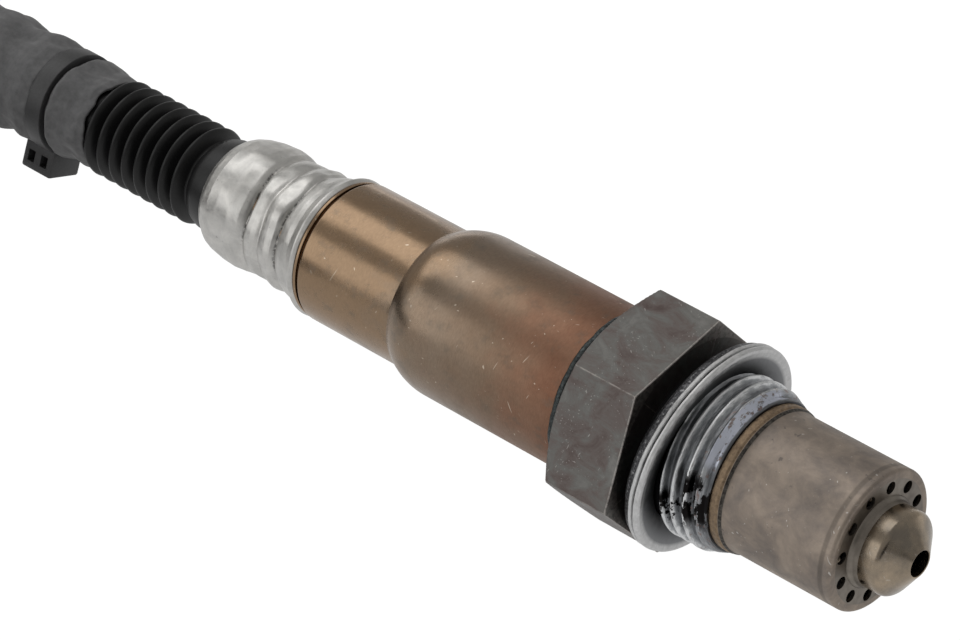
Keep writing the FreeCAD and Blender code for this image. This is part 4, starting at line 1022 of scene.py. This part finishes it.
def make_floor():
    """Pale floor under the part, white in the picture, that keeps the part's shadow."""
    bpy.ops.mesh.primitive_plane_add(size=6.0, location=(0, 0, FLOOR * MM))
    floor = bpy.context.object
    floor.name = "floor"
    material, tree, shader = new_material("floor_paper")
    shader.inputs["Base Color"].default_value = (0.86, 0.86, 0.86, 1)
    shader.inputs["Roughness"].default_value = 0.9
    shader.inputs["Specular IOR Level"].default_value = 0.0
    glow = node(tree, "ShaderNodeEmission")
    glow.inputs["Color"].default_value = (1, 1, 1, 1)
    path = node(tree, "ShaderNodeLightPath")
    lift = times(tree, path.outputs["Is Camera Ray"], FLOOR_LIFT)
    link(tree, plus(tree, lift, FLOOR_GLOW), glow.inputs["Strength"])
    seen = math_node(tree, "MAXIMUM", path.outputs["Is Camera Ray"], path.outputs["Is Glossy Ray"])
    seen = math_node(tree, "MAXIMUM", seen, path.outputs["Is Transmission Ray"])
    blend = node(tree, "ShaderNodeMixShader")
    link(tree, times(tree, seen, FLOOR_SHARE), blend.inputs["Fac"])
    link(tree, shader.outputs["BSDF"], blend.inputs[1])
    link(tree, glow.outputs["Emission"], blend.inputs[2])
    link(tree, blend.outputs["Shader"], tree.nodes["Material Output"].inputs["Surface"])
    floor.data.materials.append(material)


def softbox(name, turn, distance, width, length, radiance):
    """A soft panel seen in the metal at a given turn about the axis."""
    data = bpy.data.lights.new(name, "AREA")
    data.shape = "RECTANGLE"
    data.size = length
    data.size_y = width
    data.energy = radiance * math.pi * width * length
    lamp = add_object(name, data)
    across = math.sqrt(1 - PANEL_ALONG ** 2)
    angle = math.radians(turn)
    out = Vector((PANEL_ALONG, across * math.cos(angle), across * math.sin(angle)))
    lamp.location = Vector(PANEL_TARGET) + out * distance
    side = Vector((1, 0, 0)) - out * out.x
    side.normalize()
    up = out.cross(side)
    lamp.rotation_mode = "QUATERNION"
    lamp.rotation_quaternion = Matrix((side, up, out)).transposed().to_quaternion()


def make_lights():
    """A soft room with one dark side, white behind the part, and the panels."""
    world = bpy.data.worlds.new("studio")
    world.use_nodes = True
    tree = world.node_tree
    background = tree.nodes["Background"]
    background.inputs["Color"].default_value = (1.0, 0.99, 0.97, 1)
    path = node(tree, "ShaderNodeLightPath")
    place = node(tree, "ShaderNodeTexCoord")
    toward = node(tree, "ShaderNodeVectorMath", operation="DOT_PRODUCT")
    toward.inputs[1].default_value = DARK_WAY
    link(tree, place.outputs["Generated"], toward.inputs[0])
    ambient = span(tree, toward.outputs["Value"], 0.84, 0.97, AMBIENT, AMBIENT_DARK)
    lift = times(tree, path.outputs["Is Camera Ray"], BACKDROP_LIFT)
    link(tree, plus(tree, lift, ambient), background.inputs["Strength"])
    bpy.context.scene.world = world
    for name, numbers in PANELS.items():
        softbox(name, *numbers)


def make_camera():
    data = bpy.data.cameras.new("camera")
    data.lens = CAMERA_LENS
    data.sensor_width = SENSOR_WIDTH
    data.clip_start = 0.01
    data.clip_end = 20.0
    camera = add_object("camera", data)
    camera.location = CAMERA_PLACE
    azimuth, elevation = math.radians(CAMERA_AZIMUTH), math.radians(CAMERA_ELEVATION)
    camera.rotation_euler = (math.pi / 2 - elevation, 0, azimuth)
    bpy.context.scene.camera = camera


def dress(item, material, slot, *replaced):
    """Give a new piece its material and its body, and hide the solids that it stands for; slot is not used."""
    item.data.materials.clear()
    item.data.materials.append(material)
    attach(item, "root")
    if replaced:
        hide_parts(*replaced)
    return item


def paint(names, material):
    """A better material on solids that are shown as they are."""
    for name in names:
        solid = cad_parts[name]
        solid.data.materials.clear()
        solid.data.materials.append(material)


def main():
    make_camera()
    make_lights()
    make_floor()
    housing = hexagon_steel()
    threaded = thread_steel()
    plated = gasket_steel()
    washer = drawn_steel("washer_steel", srgb(185, 185, 185), srgb(150, 150, 150), 0.3, 0.15, 0.1)
    tube = tube_steel()
    face = drawn_steel("face_steel", srgb(136, 129, 120), srgb(112, 105, 98), 0.42, 0.1, 0.05)
    nozzle = drawn_steel("nozzle_steel", srgb(166, 150, 130), srgb(122, 114, 104), 0.24, 0.08, 0.04, 0.2)
    # Painted shade for the dark wall behind the vents.
    vent_shade = plain_material("vent_painted_shade", srgb(14, 12, 11), 0.9, 0.0, 0.2, 3.0, 0.0)
    silver = cap_steel()
    bronze = sleeve_steel()
    weld = plain_material("weld_steel", srgb(62, 66, 66), 0.4, 1.0, 0.6, 4.0, 0.3)
    rubber = plain_material("boot_rubber", srgb(12, 12, 13), 0.42, 0.0, 0.25, 2.0, 0.05)
    rubber.node_tree.nodes["Principled BSDF"].inputs["Specular IOR Level"].default_value = 0.36
    cloth = plain_material("sheath_cloth", srgb(92, 92, 93), 0.8, 0.0, 0.22, 1.2, 0.25, 0.15)
    nylon = plain_material("tie_nylon", srgb(54, 54, 55), 0.5, 0.0, 0.15, 3.0, 0.1)
    black = plain_material("plug_nylon", srgb(40, 40, 42), 0.5, 0.0, 0.15, 2.0, 0.1)
    seal = plain_material("seal_rubber", srgb(150, 72, 46), 0.6, 0.0, 0.15, 2.0, 0.1)
    lock = plain_material("lock_plastic", srgb(150, 152, 156), 0.35, 0.0, 0.1, 2.0, 0.05)
    white = plain_material("ceramic", srgb(226, 222, 212), 0.5, 0.0, 0.05, 2.0, 0.05)
    brass = plain_material("contact_metal", srgb(190, 180, 150), 0.3, 1.0, 0.1, 2.0, 0.05)

    dress(hexagon(), housing, "housing_steel", "sensor_housing")
    dress(spigot(), threaded, "housing_steel")
    dress(collar(), housing, "housing_steel")
    dress(gasket(), plated, "gasket_steel", "captive_gasket")
    dress(outer_tube(), tube, "tube_steel", "outer_protection_tube")
    dress(vented_face(), face, "tube_steel")
    dress(root_ring(), face, "tube_steel")
    dress(dark_liner(), vent_shade, "tube_steel")
    dress(snout(), nozzle, "nozzle_steel", "inner_protection_tube")
    dress(inner_tube(), nozzle, "nozzle_steel")
    dress(sleeve(), bronze, "sleeve_steel", "outer_sleeve")
    dress(sleeve_weld(), weld, "sleeve_steel")
    dress(cap(), silver, "cap_steel", "crimp_cap")
    dress(boot(), rubber, "boot_rubber", "bellows_boot")
    dress(cuff(), cloth, "sheath_cloth", "sheath_cuff")
    dress(strap(), nylon, "tie_plastic", "cable_tie")
    dress(strap_head(), nylon, "tie_plastic")
    cord = dress(sheath(), cloth, "sheath_cloth", "sheath_lead", "sheath_coil", "sheath_tail")
    strap_band, strap_end = coil_strap()
    dress(strap_band, nylon, "tie_plastic", "coil_tie")
    dress(strap_end, nylon, "tie_plastic")

    paint(["sensing_element", "front_ceramic_bush", "powder_seal", "rear_ceramic_bush", "contact_holder",
           "wire_grommet"], white)
    paint(["seal_clamp_washer", "holder_spring_ring"], washer)
    paint(["contact_springs", "plug_terminals"], brass)
    paint(["lead_wires"], rubber)
    paint(["plug_housing"], black)
    paint(["plug_wire_seal", "plug_nose_ring"], seal)
    paint(["plug_terminal_lock"], lock)

    bpy.context.scene.view_settings.view_transform = "Standard"


main()
